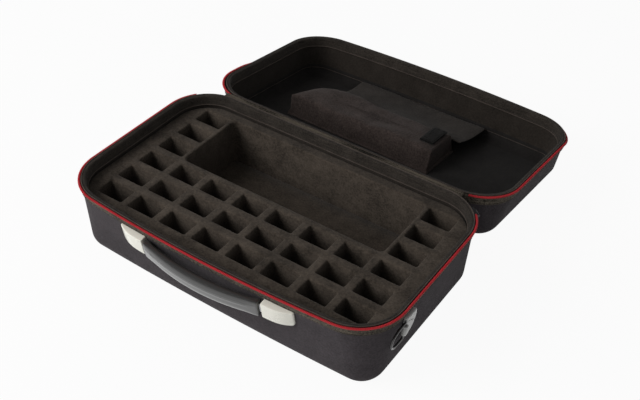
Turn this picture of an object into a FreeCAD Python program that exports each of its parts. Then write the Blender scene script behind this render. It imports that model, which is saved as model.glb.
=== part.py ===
import FreeCAD, Part
import math
import os
import re

import Sketcher
from FreeCAD import Placement, Rotation, Vector

# Moulded case for a set of mouth organs: a tapered base with a slotted foam insert, and a lid that a
# fabric tape hinges to it and a zipper closes. Millimetres, +Z up, front at -Y, hinge at +Y. The origin is
# under the middle of the base. The lid lies open, with its far edge on the ground.

SIZES = {
    # Plan of both halves at the rim, on the centre line of the zipper coil.
    "case_width": 378.0,
    "case_depth": 220.0,
    "front_bow": 10.4,
    "rim_corner": 50.0,
    # Plan at the outer floor of each half.
    "floor_bow": 3.3,
    "floor_corner": 24.0,
    "base_draft": 8.6,
    "lid_draft": 8.15,
    # Moulded shells.
    "base_rim": 86.4,
    "lid_depth": 52.3,
    "shell_wall": 4.0,
    "base_edge": 18.0,
    "lid_edge": 14.0,
    # Zipper, its tape and the binding inside the rim.
    "coil_radius": 1.6,
    "tape_thick": 1.0,
    "tape_width": 8.4,
    "binding_thick": 0.8,
    "binding_width": 7.0,
    "base_coil_short": 10.0,
    "lid_coil_short": 34.0,
    # Clearances.
    "seat_gap": 0.3,
    "bore_gap": 0.1,
    "hinge_gap": 0.4,
    # Foam insert.
    "foam_top": 74.2,
    "foam_pad": 14.4,
    "foam_margin": 12.0,
    "slot_width": 32.3,
    "slot_depth": 20.9,
    "slot_pitch_x": 41.7,
    "slot_pitch_y": 31.56,
    "bay_half_width": 125.0,
    "bay_front": 3.0,
    "bay_back": 91.0,
    # Hinge tape and its axis.
    "hinge_axis_back": 6.68,
    "hinge_axis_drop": 3.62,
    "hinge_tape_short": 36.0,
    "hinge_tape_thick": 0.8,
    "hinge_lap": 5.5,
    # Carrying handle on the front wall.
    "handle_height": 66.5,
    "handle_travel": 3.0,
    "grip_half": 68.5,
    "grip_height": 20.0,
    "grip_end_thick": 6.0,
    "grip_mid_thick": 11.0,
    "grip_mid_out": 12.2,
    "grip_end_out": 3.6,
    "grip_ridge": 2.2,
    "core_thick": 1.2,
    "core_height": 11.0,
    "core_reach": 11.5,
    "cap_length": 34.0,
    "cap_height": 21.5,
    "cap_inner_thick": 8.3,
    "cap_outer_thick": 3.6,
    "cap_wall": 1.2,
    # Strap rings on the side walls.
    "ring_height": 58.0,
    "ring_setback": 60.0,
    "ring_wire": 1.25,
    "ring_half_bar": 11.5,
    "ring_corner": 3.0,
    "ring_reach": 23.0,
    "plate_width": 20.0,
    "plate_height": 30.0,
    "plate_thick": 3.0,
    "knuckle_length": 13.0,
    "knuckle_wall": 1.5,
    "ring_axis_out": 3.0,
    # Zipper sliders and pull tabs, behind the back corners.
    "slider_short": 17.0,
    "slider_length": 11.0,
    "slider_height": 8.0,
    "slider_thick": 3.4,
    "slider_drop": 4.0,
    "pull_length": 24.0,
    "pull_width": 7.0,
    "pull_thick": 1.6,
    "eye_radius": 1.3,
    "pin_radius": 0.6,
    "ear_thick": 1.2,
    # Soft pouch in the lid.
    "pouch_length": 200.0,
    "pouch_depth": 60.0,
    "pouch_height": 30.0,
    "pouch_round": 9.0,
    "pouch_place_x": -31.0,
    "pouch_place_y": -11.0,
    "flap_length": 172.0,
    "flap_depth": 59.0,
    "flap_near": 20.0,
    "flap_far": 11.5,
    "flap_shift": 18.0,
    "flap_thick": 2.2,
    "hook_length": 36.0,
    "hook_width": 17.0,
    "hook_thick": 0.8,
    "hook_short": 24.0,
    "hook_front": 14.0,
}

DOC = FreeCAD.newDocument("mouth_organ_case")
SHEET = DOC.addObject("Spreadsheet::Sheet", "Sizes")
for number, (alias, value) in enumerate(SIZES.items(), start=1):
    SHEET.set("A%d" % number, alias)
    SHEET.set("B%d" % number, str(value))
    SHEET.setAlias("B%d" % number, alias)
DOC.recompute()

# Heights and insets that follow from the sizes, as formulas of the sheet's names.
FLOOR = "0"
BASE_RIM = "base_rim"
BASE_COIL = "(base_rim + seat_gap + coil_radius)"
CLOSING = "(base_rim + 1.5*seat_gap + 2*coil_radius)"
LID_COIL = "(base_rim + 2*seat_gap + 3*coil_radius)"
LID_RIM = "(base_rim + 3*seat_gap + 4*coil_radius)"
LID_TOP = "(base_rim + 3*seat_gap + 4*coil_radius + lid_depth)"
SHELL_INSET = "(tape_thick + seat_gap)"
CAVITY_INSET = "(tape_thick + seat_gap + shell_wall)"
FOAM_INSET = "(tape_thick + shell_wall + 2*seat_gap)"
PAD_LOW = "(shell_wall + seat_gap)"
PAD_TOP = "(shell_wall + seat_gap + foam_pad)"
AXIS_Y = "(case_depth/2 + hinge_axis_back)"
# How a side or direction is written in a formula.
SIGN = {1: "", -1: "-"}
OPPOSITE = {"+": "-", "-": "+"}
AXIS_Z = "(base_rim + 1.5*seat_gap + 2*coil_radius - hinge_axis_drop)"

# Flat bands that make up each quarter-round floor edge, and sides of a round wire's section.
EDGE_STEPS = 4
WIRE_SIDES = 8

PARTS = []


def qualified(formula):
    """Write the sheet's name in front of each size that a formula uses."""
    return re.sub(r"[A-Za-z_]\w*", lambda found: "Sizes." + found.group(0) if found.group(0) in SIZES
                  else found.group(0), formula)


def measure(formula):
    """The value of a formula of the sheet's names."""
    return float(SHEET.evalExpression(qualified(str(formula))))


def bind(feature, path, formula):
    """Tie one property of a feature to a formula of the sheet's names."""
    feature.setExpression(path, qualified(str(formula)))


def new_body(label):
    """A PartDesign body that becomes one sub-part."""
    body = DOC.addObject("PartDesign::Body", label)
    body.Label = label
    PARTS.append(body)
    return body


def plane_of(body, role):
    """One of a body's own origin planes."""
    for item in body.Origin.OriginFeatures:
        if item.Role == role:
            return item
    raise ValueError("no plane " + role)


def new_sketch(body, name, role="XY_Plane", offset="0"):
    """A sketch on one of the body's origin planes, raised along its normal by a formula."""
    sketch = body.newObject("Sketcher::SketchObject", body.Label + "_" + name)
    sketch.AttachmentSupport = (plane_of(body, role), [""])
    sketch.MapMode = "FlatFace"
    bind(sketch, "AttachmentOffset.Base.z", offset)
    return sketch


def datum(sketch, kind, *args, formula):
    """Add a dimension to a sketch and tie it to a formula."""
    index = sketch.addConstraint(Sketcher.Constraint(kind, *args, measure(formula)))
    bind(sketch, "Constraints[%d]" % index, formula)


# --- Outlines -------------------------------------------------------------------------------------

class Plan:
    """Formulas of one half's plan at a share of the way from its floor to its rim, moved in by an inset."""

    def __init__(self, draft, share, inset):
        half_width = "(case_width/2 - %s*(1 - (%s)))" % (draft, share)
        half_depth = "(case_depth/2 - %s*(1 - (%s)))" % (draft, share)
        bow = "(floor_bow + (front_bow - floor_bow)*(%s))" % share
        bow_radius = "((%s^2 + %s^2)/(2*%s))" % (half_width, bow, bow)
        self.half_width = "(%s - %s)" % (half_width, inset)
        self.back = "(%s - %s)" % (half_depth, inset)
        self.bow_radius = "(%s - %s)" % (bow_radius, inset)
        self.bow_centre = "(%s - %s - %s)" % (bow_radius, bow, half_depth)
        self.corner = "(floor_corner + (rim_corner - floor_corner)*(%s) - %s)" % (share, inset)

    def front_middle(self):
        """How far in front of the origin the middle of the front edge lies."""
        return "(%s - %s)" % (self.bow_radius, self.bow_centre)


def base_plan(height, inset):
    """Plan of the base at a height."""
    return Plan("base_draft", "(%s)/base_rim" % height, inset)


def lid_plan(height, inset):
    """Plan of the closed lid at a height."""
    return Plan("lid_draft", "(%s - (%s))/lid_depth" % (LID_TOP, height), inset)


def plan_edges(plan):
    """The eight edges of a closed plan, anticlockwise from the right side, ready to be constrained."""
    half = measure(plan.half_width)
    back = measure(plan.back)
    bow = measure(plan.bow_radius)
    bow_y = measure(plan.bow_centre)
    corner = measure(plan.corner)
    side = half - corner
    front_y = bow_y - math.sqrt((bow - corner) ** 2 - side ** 2)
    back_y = back - corner
    meet = math.atan2(front_y - bow_y, side)

    def arc(x, y, radius, start, end):
        return Part.ArcOfCircle(Part.Circle(Vector(x, y, 0), Vector(0, 0, 1), radius), start, end)

    def line(x1, y1, x2, y2):
        return Part.LineSegment(Vector(x1, y1, 0), Vector(x2, y2, 0))

    return [
        line(half, front_y, half, back_y),
        arc(side, back_y, corner, 0, math.pi / 2),
        line(side, back, -side, back),
        arc(-side, back_y, corner, math.pi / 2, math.pi),
        line(-half, back_y, -half, front_y),
        arc(-side, front_y, corner, math.pi, math.pi - meet),
        arc(0, bow_y, bow, -math.pi - meet, meet),
        arc(side, front_y, corner, meet, 2 * math.pi),
    ]


def constrain_plan(sketch, plan, right, back_right, back_left, left, front_left, front, front_right):
    """Dimensions that a closed plan and an open one share, given the numbers of their edges."""
    for edge in (right, left):
        sketch.addConstraint(Sketcher.Constraint("Vertical", edge))
    for edge in (back_left, front_left, front_right):
        sketch.addConstraint(Sketcher.Constraint("Equal", back_right, edge))
    datum(sketch, "Radius", back_right, formula=plan.corner)
    datum(sketch, "Radius", front, formula=plan.bow_radius)
    sketch.addConstraint(Sketcher.Constraint("PointOnObject", front, 3, -2))
    datum(sketch, "DistanceY", -1, 1, front, 3, formula=plan.bow_centre)
    datum(sketch, "DistanceX", -1, 1, right, 1, formula=plan.half_width)
    datum(sketch, "DistanceX", left, 1, -1, 1, formula=plan.half_width)


def closed_outline(body, name, plan, height):
    """A closed plan at a height: straight sides and back, bowed front, round corners."""
    sketch = new_sketch(body, name, offset=height)
    sketch.addGeometry(plan_edges(plan), False)
    for edge in range(8):
        sketch.addConstraint(Sketcher.Constraint("Tangent", edge, 2, (edge + 1) % 8, 1))
    sketch.addConstraint(Sketcher.Constraint("Horizontal", 2))
    constrain_plan(sketch, plan, 0, 1, 3, 4, 5, 6, 7)
    datum(sketch, "DistanceY", -1, 1, 2, 1, formula=plan.back)
    return sketch


def open_outline(body, name, plan, height, end):
    """The same plan without its back: it stops on the back corners, at an offset from the middle."""
    sketch = new_sketch(body, name, offset=height)
    edges = plan_edges(plan)
    corner = measure(plan.corner)
    side = measure(plan.half_width) - corner
    stop = math.acos((measure(end) - side) / corner)
    back_left = Part.ArcOfCircle(edges[3].Circle, math.pi - stop, math.pi)
    back_right = Part.ArcOfCircle(edges[1].Circle, 0, stop)
    sketch.addGeometry([back_left] + edges[4:] + [edges[0], back_right], False)
    for edge in range(6):
        sketch.addConstraint(Sketcher.Constraint("Tangent", edge, 2, edge + 1, 1))
    constrain_plan(sketch, plan, 5, 6, 0, 1, 2, 3, 4)
    centre = "(%s - %s)" % (plan.back, plan.corner)
    for edge in (0, 6):
        datum(sketch, "DistanceY", -1, 1, edge, 3, formula=centre)
    datum(sketch, "DistanceX", 0, 1, -1, 1, formula=end)
    datum(sketch, "DistanceX", -1, 1, 6, 2, formula=end)
    return sketch


def loft(body, name, kind, outlines):
    """Straight bands between outlines, from the upper one down, which keeps the faces outward."""
    DOC.recompute()
    ordered = sorted(outlines, key=lambda outline: -outline.Placement.Base.z)
    feature = body.newObject("PartDesign::" + kind, body.Label + "_" + name)
    feature.Profile = ordered[0]
    feature.Sections = ordered[1:]
    feature.Ruled = True
    DOC.recompute()
    return feature


def fillet(body, name, base, names, radius):
    """Round the named edges of a feature."""
    feature = body.newObject("PartDesign::Fillet", body.Label + "_" + name)
    feature.Base = (base, names)
    bind(feature, "Radius", radius)
    DOC.recompute()
    return feature


# --- General profiles -----------------------------------------------------------------------------

def polygon(sketch, corners):
    """A closed polygon whose corners are pairs of formulas."""
    points = [Vector(measure(x), measure(y), 0) for x, y in corners]
    count = len(points)
    sketch.addGeometry([Part.LineSegment(points[k], points[(k + 1) % count]) for k in range(count)], False)
    for side in range(count):
        sketch.addConstraint(Sketcher.Constraint("Coincident", side, 2, (side + 1) % count, 1))
    for side, (x, y) in enumerate(corners):
        place(sketch, side, 1, x, y)


def pad(body, name, sketch, length, midplane=True):
    """Pad a sketch along its normal."""
    feature = body.newObject("PartDesign::Pad", body.Label + "_" + name)
    feature.Profile = sketch
    feature.Midplane = midplane
    bind(feature, "Length", length)
    DOC.recompute()
    return feature


def upright_edges(shape, axis):
    """Names of the straight edges that run along one axis."""
    names = []
    for number, edge in enumerate(shape.Edges, start=1):
        step = edge.Vertexes[-1].Point - edge.Vertexes[0].Point
        if step.Length and abs(abs(step.dot(axis)) - step.Length) < 1e-6 * step.Length:
            names.append("Edge%d" % number)
    return names


def wire_section(centre, radius):
    """Corners of a round wire's section, centred at an offset along the sketch's first axis."""
    turns = [2 * math.pi * (side + 0.5) / WIRE_SIDES for side in range(WIRE_SIDES)]
    return [("(%s + %.6f*%s)" % (centre, math.cos(turn), radius), "(%.6f*%s)" % (math.sin(turn), radius))
            for turn in turns]


def rectangle(sketch, left, front, right, back):
    """A rectangle in a sketch, tied to four formulas."""
    x1, y1, x2, y2 = (measure(value) for value in (left, front, right, back))
    corners = [Vector(x1, y1, 0), Vector(x2, y1, 0), Vector(x2, y2, 0), Vector(x1, y2, 0)]
    sketch.addGeometry([Part.LineSegment(corners[side], corners[(side + 1) % 4]) for side in range(4)], False)
    for side in range(4):
        sketch.addConstraint(Sketcher.Constraint("Coincident", side, 2, (side + 1) % 4, 1))
    for side in (0, 2):
        sketch.addConstraint(Sketcher.Constraint("Horizontal", side))
    for side in (1, 3):
        sketch.addConstraint(Sketcher.Constraint("Vertical", side))
    place(sketch, 0, 1, left, front)
    place(sketch, 2, 1, right, back)


def place(sketch, edge, end, x, y):
    """Fix a point of a sketch at two formulas, whichever side of the origin it lies."""
    for kind, formula in (("DistanceX", x), ("DistanceY", y)):
        datum(sketch, kind, -1, 1, edge, end, formula=formula)


def pocket(body, name, sketch, depth=None):
    """Cut a sketch downwards: by a depth, or through all when none is given."""
    feature = body.newObject("PartDesign::Pocket", body.Label + "_" + name)
    feature.Profile = sketch
    if depth is None:
        feature.Type = "ThroughAll"
        feature.Midplane = True
    else:
        bind(feature, "Length", depth)
    DOC.recompute()
    return feature


def repeat(body, name, feature, role, length, count):
    """Repeat a feature along one axis of its body."""
    axis = [item for item in body.Origin.OriginFeatures if item.Role == role][0]
    pattern = body.newObject("PartDesign::LinearPattern", body.Label + "_" + name)
    pattern.Originals = [feature]
    pattern.Direction = (axis, [""])
    bind(pattern, "Length", length)
    pattern.Occurrences = count
    body.Tip = pattern
    DOC.recompute()
    return pattern


# --- Shells, zipper, tape and binding -------------------------------------------------------------

def rounded_form(body, kind, plan, floor, away, top, inset, radius):
    """A tapered form with a rounded floor edge, in bands that follow a quarter round.

    away is the sign of the way from the floor to the open side, and top is the height of that side.
    """
    outlines = []
    for step in range(EDGE_STEPS + 1):
        turn = math.pi / 2 * step / EDGE_STEPS
        height = "(%s %s %.6f*%s)" % (floor, away, 1 - math.cos(turn), radius)
        edge_inset = "(%s + %.6f*%s)" % (inset, 1 - math.sin(turn), radius)
        outlines.append(closed_outline(body, "edge_%d" % step, plan(height, edge_inset), height))
    outlines.append(closed_outline(body, "top", plan(top, inset), top))
    return loft(body, "form", kind, outlines)


def tray(label, plan, floor, away, rim, edge_radius):
    """A moulded shell: tapered walls, rounded floor edge, even wall."""
    body = new_body(label)
    rounded_form(body, "AdditiveLoft", plan, floor, away, rim, SHELL_INSET, edge_radius)
    hollow = DOC.addObject("PartDesign::Body", label + "_hollow")
    inner_floor = "(%s %s shell_wall)" % (floor, away)
    inner_radius = "(%s - shell_wall)" % edge_radius
    rounded_form(hollow, "AdditiveLoft", plan, inner_floor, away, rim, CAVITY_INSET, inner_radius)
    cut = body.newObject("PartDesign::Boolean", label + "_cavity")
    cut.Type = "Cut"
    cut.Group = [hollow]
    DOC.recompute()
    return body


def band(label, plan, low, high, outer_inset, inner_inset):
    """A band that runs round a rim between two heights."""
    body = new_body(label)
    outside = [closed_outline(body, "outside_%d" % place, plan(height, outer_inset), height)
               for place, height in enumerate((low, high))]
    loft(body, "outside", "AdditiveLoft", outside)
    inside = [closed_outline(body, "inside_%d" % place, plan(height, inner_inset), height)
              for place, height in enumerate((low, high))]
    loft(body, "inside", "SubtractiveLoft", inside)
    return body


def coil(label, plan, height, end):
    """A zipper coil along a rim, open at the hinge."""
    body = new_body(label)
    path = open_outline(body, "path", plan(height, "0"), height, end)
    DOC.recompute()
    profile = body.newObject("Sketcher::SketchObject", label + "_section")
    profile.AttachmentSupport = [(path, "Edge1")]
    profile.MapMode = "NormalToEdge"
    profile.MapPathParameter = 0.0
    polygon(profile, wire_section("0", "coil_radius"))
    pipe = body.newObject("PartDesign::AdditivePipe", label + "_pipe")
    pipe.Profile = profile
    pipe.Spine = (path, ["Edge%d" % number for number in range(1, 8)])
    DOC.recompute()
    return body


def rim_parts(name, plan, rim, inward, coil_height, coil_end):
    """Tape, coil and binding of one half; inward is the sign from the rim towards its floor."""
    tape_low = "(%s %s tape_width)" % (rim, inward)
    binding_low = "(%s %s binding_width)" % (rim, inward)
    binding_inset = "(%s + seat_gap)" % CAVITY_INSET
    return [
        band(name + "_zip_tape", plan, tape_low, rim, "0", "tape_thick"),
        band(name + "_binding", plan, binding_low, rim, binding_inset,
             "(%s + binding_thick)" % binding_inset),
        coil(name + "_zip_coil", plan, coil_height, coil_end),
    ]


# --- Foam insert ----------------------------------------------------------------------------------

ROWS = 6
FULL_ROWS = 3
SIDE_ROWS = ROWS - FULL_ROWS
WIDE = "case_width"


def slots_across():
    """How many slots fit side by side between the margins of the insert's top."""
    draft = "base_draft*(1 - foam_top/base_rim)"
    room = measure("case_width - 2*%s - 2*%s - 2*foam_margin" % (draft, FOAM_INSET))
    return int((room + measure("slot_pitch_x - slot_width")) // measure("slot_pitch_x"))


COLUMNS = slots_across()


def column_left(column):
    """Left side of a column of slots, numbered from 0."""
    return "(%g*slot_pitch_x - slot_width/2)" % (column - (COLUMNS - 1) / 2)


def row_front(row):
    """Front side of a row of slots, numbered from 0."""
    return "(%g*slot_pitch_y - slot_depth/2)" % (row - (ROWS - 1) / 2)


def row_back(row):
    """Back side of a row of slots."""
    return "(%s + slot_depth)" % row_front(row)


def foam_block(label, left, front, right, back):
    """Foam between four cuts, as deep as the insert; a cut of None leaves the side against the wall."""
    body = new_body(label)
    low = closed_outline(body, "low", base_plan(PAD_TOP, FOAM_INSET), PAD_TOP)
    high = closed_outline(body, "high", base_plan("foam_top", FOAM_INSET), "foam_top")
    loft(body, "blank", "AdditiveLoft", [low, high])
    cuts = {
        "left": left and ("-" + WIDE, "-" + WIDE, left, WIDE),
        "front": front and ("-" + WIDE, "-" + WIDE, WIDE, front),
        "right": right and (right, "-" + WIDE, WIDE, WIDE),
        "back": back and ("-" + WIDE, back, WIDE, WIDE),
    }
    for name, corners in cuts.items():
        if corners:
            sketch = new_sketch(body, name + "_cut", offset="foam_top")
            rectangle(sketch, *corners)
            pocket(body, name, sketch)
    return body


def cut_slots(body, left, front, right, back, role, pitch, count):
    """One slot and its repeats."""
    sketch = new_sketch(body, "slot_cut", offset="foam_top")
    rectangle(sketch, left, front, right, back)
    slot = pocket(body, "slot", sketch)
    repeat(body, "slots", slot, role, "%s*%d" % (pitch, count - 1), count)


def foam_insert():
    """Floor pad, three slotted rows, two slotted sides, and the rails in front of and behind the bay."""
    pad = new_body("foam_pad_floor")
    rounded_form(pad, "AdditiveLoft", base_plan, PAD_LOW, "+", PAD_TOP, FOAM_INSET,
                 "(base_edge - shell_wall)")

    names = ("front", "middle", "back")
    for row in range(FULL_ROWS):
        front = row_back(row - 1) if row else None
        body = foam_block("foam_row_" + names[row], None, front, None, row_back(row))
        cut_slots(body, column_left(0), row_front(row), "(%s + slot_width)" % column_left(0),
                  "(%s + slot_depth)" % row_back(row), "X_Axis", "slot_pitch_x", COLUMNS)

    rail_front = row_back(FULL_ROWS - 1)
    foam_block("foam_cross_rail", "-bay_half_width", rail_front, "bay_half_width", "bay_front")
    foam_block("foam_back_rail", "-bay_half_width", "bay_back", "bay_half_width", None)
    for side, column, left, right in (("left", 0, None, "-bay_half_width"),
                                      ("right", COLUMNS - 1, "bay_half_width", None)):
        body = foam_block("foam_%s_block" % side, left, rail_front, right, None)
        cut_slots(body, column_left(column), row_front(FULL_ROWS), "(%s + slot_width)" % column_left(column),
                  row_back(FULL_ROWS), "Y_Axis", "slot_pitch_y", SIDE_ROWS)


# --- Hinge tape -----------------------------------------------------------------------------------

def hinge_half(label, rim, side):
    """Half of the hinge tape, from one rim to the axis. side is + above the base, - below the lid."""
    near = "(%s %s seat_gap)" % (rim, side)
    far = "(%s %s (seat_gap + hinge_tape_thick))" % (rim, side)
    inner = "(case_depth/2 - hinge_lap)"
    fold = "(case_depth/2 + tape_thick)"
    tip_y = "(%s - hinge_gap)" % AXIS_Y
    tip_z = {"+": AXIS_Z, "-": "(%s + hinge_gap + hinge_tape_thick)" % AXIS_Z}[side]
    body = new_body(label)
    section = new_sketch(body, "section", role="YZ_Plane")
    polygon(section, [
        (inner, near),
        (fold, near),
        (tip_y, "(%s %s hinge_tape_thick/2)" % (tip_z, OPPOSITE[side])),
        (tip_y, "(%s %s hinge_tape_thick/2)" % (tip_z, side)),
        (fold, far),
        (inner, far),
    ])
    pad(body, "cloth", section, "case_width - 2*hinge_tape_short")
    return body


# --- Handle ---------------------------------------------------------------------------------------

HANDLE_PLAN = base_plan("handle_height", SHELL_INSET)
# The strip follows one arc from the middle of the grip to its tips beyond the grip's ends.
CORE_SAG = "(grip_mid_out - grip_end_out)"
CORE_END_OUT = "grip_end_out"
STRIP_END_OUT = "(grip_mid_out - %s*((grip_half + core_reach)/grip_half)^2)" % CORE_SAG


def handle_place():
    """Frame of the handle: its origin on the front wall, y into the case, z up along the sloping wall."""
    tilt = math.atan2(measure("front_bow - floor_bow + base_draft"), measure("base_rim"))
    origin = Vector(0, -measure(HANDLE_PLAN.front_middle()), measure("handle_height"))
    return Placement(origin, Rotation(Vector(1, 0, 0), math.degrees(tilt)))


def bowed_band(body, name, half, end_out, mid_out, end_thick, mid_thick):
    """A strip seen from above: straight ends, both long sides arcs that bow away from the wall."""
    x = measure(half)
    outer_end, inner_end = "(%s + %s/2)" % (end_out, end_thick), "(%s - %s/2)" % (end_out, end_thick)
    outer_mid, inner_mid = "(%s + %s/2)" % (mid_out, mid_thick), "(%s - %s/2)" % (mid_out, mid_thick)
    ends = {"outer": -measure(outer_end), "inner": -measure(inner_end)}
    mids = {"outer": -measure(outer_mid), "inner": -measure(inner_mid)}
    sketch = new_sketch(body, name)
    arcs = {side: Part.Arc(Vector(-x, ends[side], 0), Vector(0, mids[side], 0), Vector(x, ends[side], 0))
            for side in ends}
    sketch.addGeometry([
        arcs["outer"],
        Part.LineSegment(Vector(x, ends["outer"], 0), Vector(x, ends["inner"], 0)),
        arcs["inner"],
        Part.LineSegment(Vector(-x, ends["inner"], 0), Vector(-x, ends["outer"], 0)),
    ], False)
    # Both arcs run anticlockwise, so each starts on the left.
    for first, first_end, second, second_end in ((0, 2, 1, 1), (1, 2, 2, 2), (2, 1, 3, 1), (3, 2, 0, 1)):
        sketch.addConstraint(Sketcher.Constraint("Coincident", first, first_end, second, second_end))
    for edge, end, mid in ((0, outer_end, outer_mid), (2, inner_end, inner_mid)):
        rise = "(%s - %s)" % (mid, end)
        sketch.addConstraint(Sketcher.Constraint("PointOnObject", edge, 3, -2))
        datum(sketch, "Radius", edge, formula="(%s^2 + %s^2)/(2*%s)" % (half, rise, rise))
        place(sketch, edge, 1, "-" + half, "-" + end)
        datum(sketch, "DistanceX", -1, 1, edge, 2, formula=half)
    return sketch


def grip():
    """The strap grip, hollow for its spring strip, and the strip whose ends slide in the end caps."""
    body = new_body("handle_grip")
    outline = bowed_band(body, "outline", "grip_half", "grip_end_out", "grip_mid_out", "grip_end_thick",
                         "grip_mid_thick")
    blank = pad(body, "blank", outline, "grip_height")
    long_edges = [name for name in ("Edge%d" % number for number in range(1, len(blank.Shape.Edges) + 1))
                  if blank.Shape.getElement(name).Length > measure("grip_half")]
    ridge = body.newObject("PartDesign::Chamfer", "handle_grip_ridges")
    ridge.Base = (blank, long_edges)
    bind(ridge, "Size", "grip_ridge")
    DOC.recompute()
    hollow = bowed_band(body, "hollow", "grip_half", CORE_END_OUT, "grip_mid_out",
                        "(core_thick + 2*seat_gap)", "(core_thick + 2*seat_gap)")
    cut = body.newObject("PartDesign::Pocket", "handle_grip_core_hollow")
    cut.Profile = hollow
    cut.Midplane = True
    bind(cut, "Length", "core_height + 2*seat_gap")
    DOC.recompute()

    strip = new_body("handle_core")
    strip_outline = bowed_band(strip, "outline", "(grip_half + core_reach)", STRIP_END_OUT, "grip_mid_out",
                               "core_thick", "core_thick")
    pad(strip, "strip", strip_outline, "core_height")
    for part in (body, strip):
        part.Placement = handle_place()


def end_cap(label, side):
    """A moulded cover over one end of the strip: a wedge, hollow towards the wall and the grip."""
    inner = "(grip_half + handle_travel + seat_gap)"
    middle = "(%s + cap_length/2)" % inner
    body = new_body(label)
    sign = SIGN[side]
    outline = new_sketch(body, "outline")
    corners = [("%s(-cap_length/2)", "-seat_gap"), ("%s(cap_length/2)", "-seat_gap"),
               ("%s(cap_length/2)", "-cap_outer_thick"), ("%s(-cap_length/2)", "-cap_inner_thick")]
    polygon(outline, [("(" + x % sign + ")", y) for x, y in corners])
    blank = pad(body, "blank", outline, "cap_height")
    front = [name for name in ("Edge%d" % number for number in range(1, len(blank.Shape.Edges) + 1))
             if blank.Shape.getElement(name).BoundBox.YMax < -measure("cap_outer_thick") + 0.01]
    fillet(body, "round", blank, front, "cap_wall")
    hollow = new_sketch(body, "hollow")
    polygon(hollow, [("(" + x % sign + ")", y) for x, y in (
        ("%s(-cap_length/2 - cap_wall)", "cap_wall"),
        ("%s(cap_length/2 - 2*cap_wall)", "cap_wall"),
        ("%s(cap_length/2 - 2*cap_wall)", "(cap_wall - cap_outer_thick)"),
        ("%s(-cap_length/2 - cap_wall)", "(cap_wall - cap_inner_thick)"),
    )])
    cut = body.newObject("PartDesign::Pocket", label + "_cut")
    cut.Profile = hollow
    cut.Midplane = True
    bind(cut, "Length", "core_height + 4*seat_gap")
    DOC.recompute()
    reach = measure(middle)
    bow = measure(HANDLE_PLAN.bow_radius)
    local = Placement(Vector(side * reach, bow - math.sqrt(bow ** 2 - reach ** 2), 0),
                      Rotation(Vector(0, 0, 1), side * math.degrees(math.asin(reach / bow))))
    body.Placement = handle_place() * local


# --- Strap rings ----------------------------------------------------------------------------------

def ring_place(side):
    """Frame on a side wall: x out of the wall, y towards the front, z up along the wall, on the ring's axis."""
    plan = base_plan("ring_height", SHELL_INSET)
    tilt = math.degrees(math.atan2(measure("base_draft"), measure("base_rim")))
    origin = Vector(side * measure(plan.half_width), -measure("ring_setback"), measure("ring_height"))
    lean = Rotation(Vector(0, 1, 0), side * tilt)
    return Placement(origin, lean)


def ring_mount(label, side):
    """A moulded plate on the side wall with a knuckle for the ring's bar along its front edge."""
    body = new_body(label)
    knuckle = "(ring_wire + bore_gap + knuckle_wall)"
    axis_out = "(seat_gap + ring_axis_out)"
    sign = SIGN[side]
    plate = new_sketch(body, "plate")
    rectangle(plate, "(%sseat_gap)" % sign, "0", "(%s(seat_gap + plate_thick))" % sign, "plate_width")
    plate_pad = pad(body, "plate_pad", plate, "plate_height")
    fillet(body, "corners", plate_pad, upright_edges(plate_pad.Shape, Vector(1, 0, 0)), "plate_thick")
    barrel = new_sketch(body, "barrel")
    barrel.addGeometry(Part.Circle(Vector(side * measure(axis_out), 0, 0), Vector(0, 0, 1),
                                   measure(knuckle)), False)
    datum(barrel, "Radius", 0, formula="%s - seat_gap/2" % knuckle)
    place(barrel, 0, 3, "(%s%s)" % (sign, axis_out), "0")
    pad(body, "barrel_pad", barrel, "knuckle_length")
    bore = new_sketch(body, "bore")
    bore.addGeometry(Part.Circle(Vector(side * measure(axis_out), 0, 0), Vector(0, 0, 1),
                                 measure("ring_wire + bore_gap")), False)
    datum(bore, "Radius", 0, formula="ring_wire + bore_gap")
    place(bore, 0, 3, "(%s%s)" % (sign, axis_out), "0")
    pocket(body, "bore_cut", bore)
    body.Placement = ring_place(side)


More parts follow.
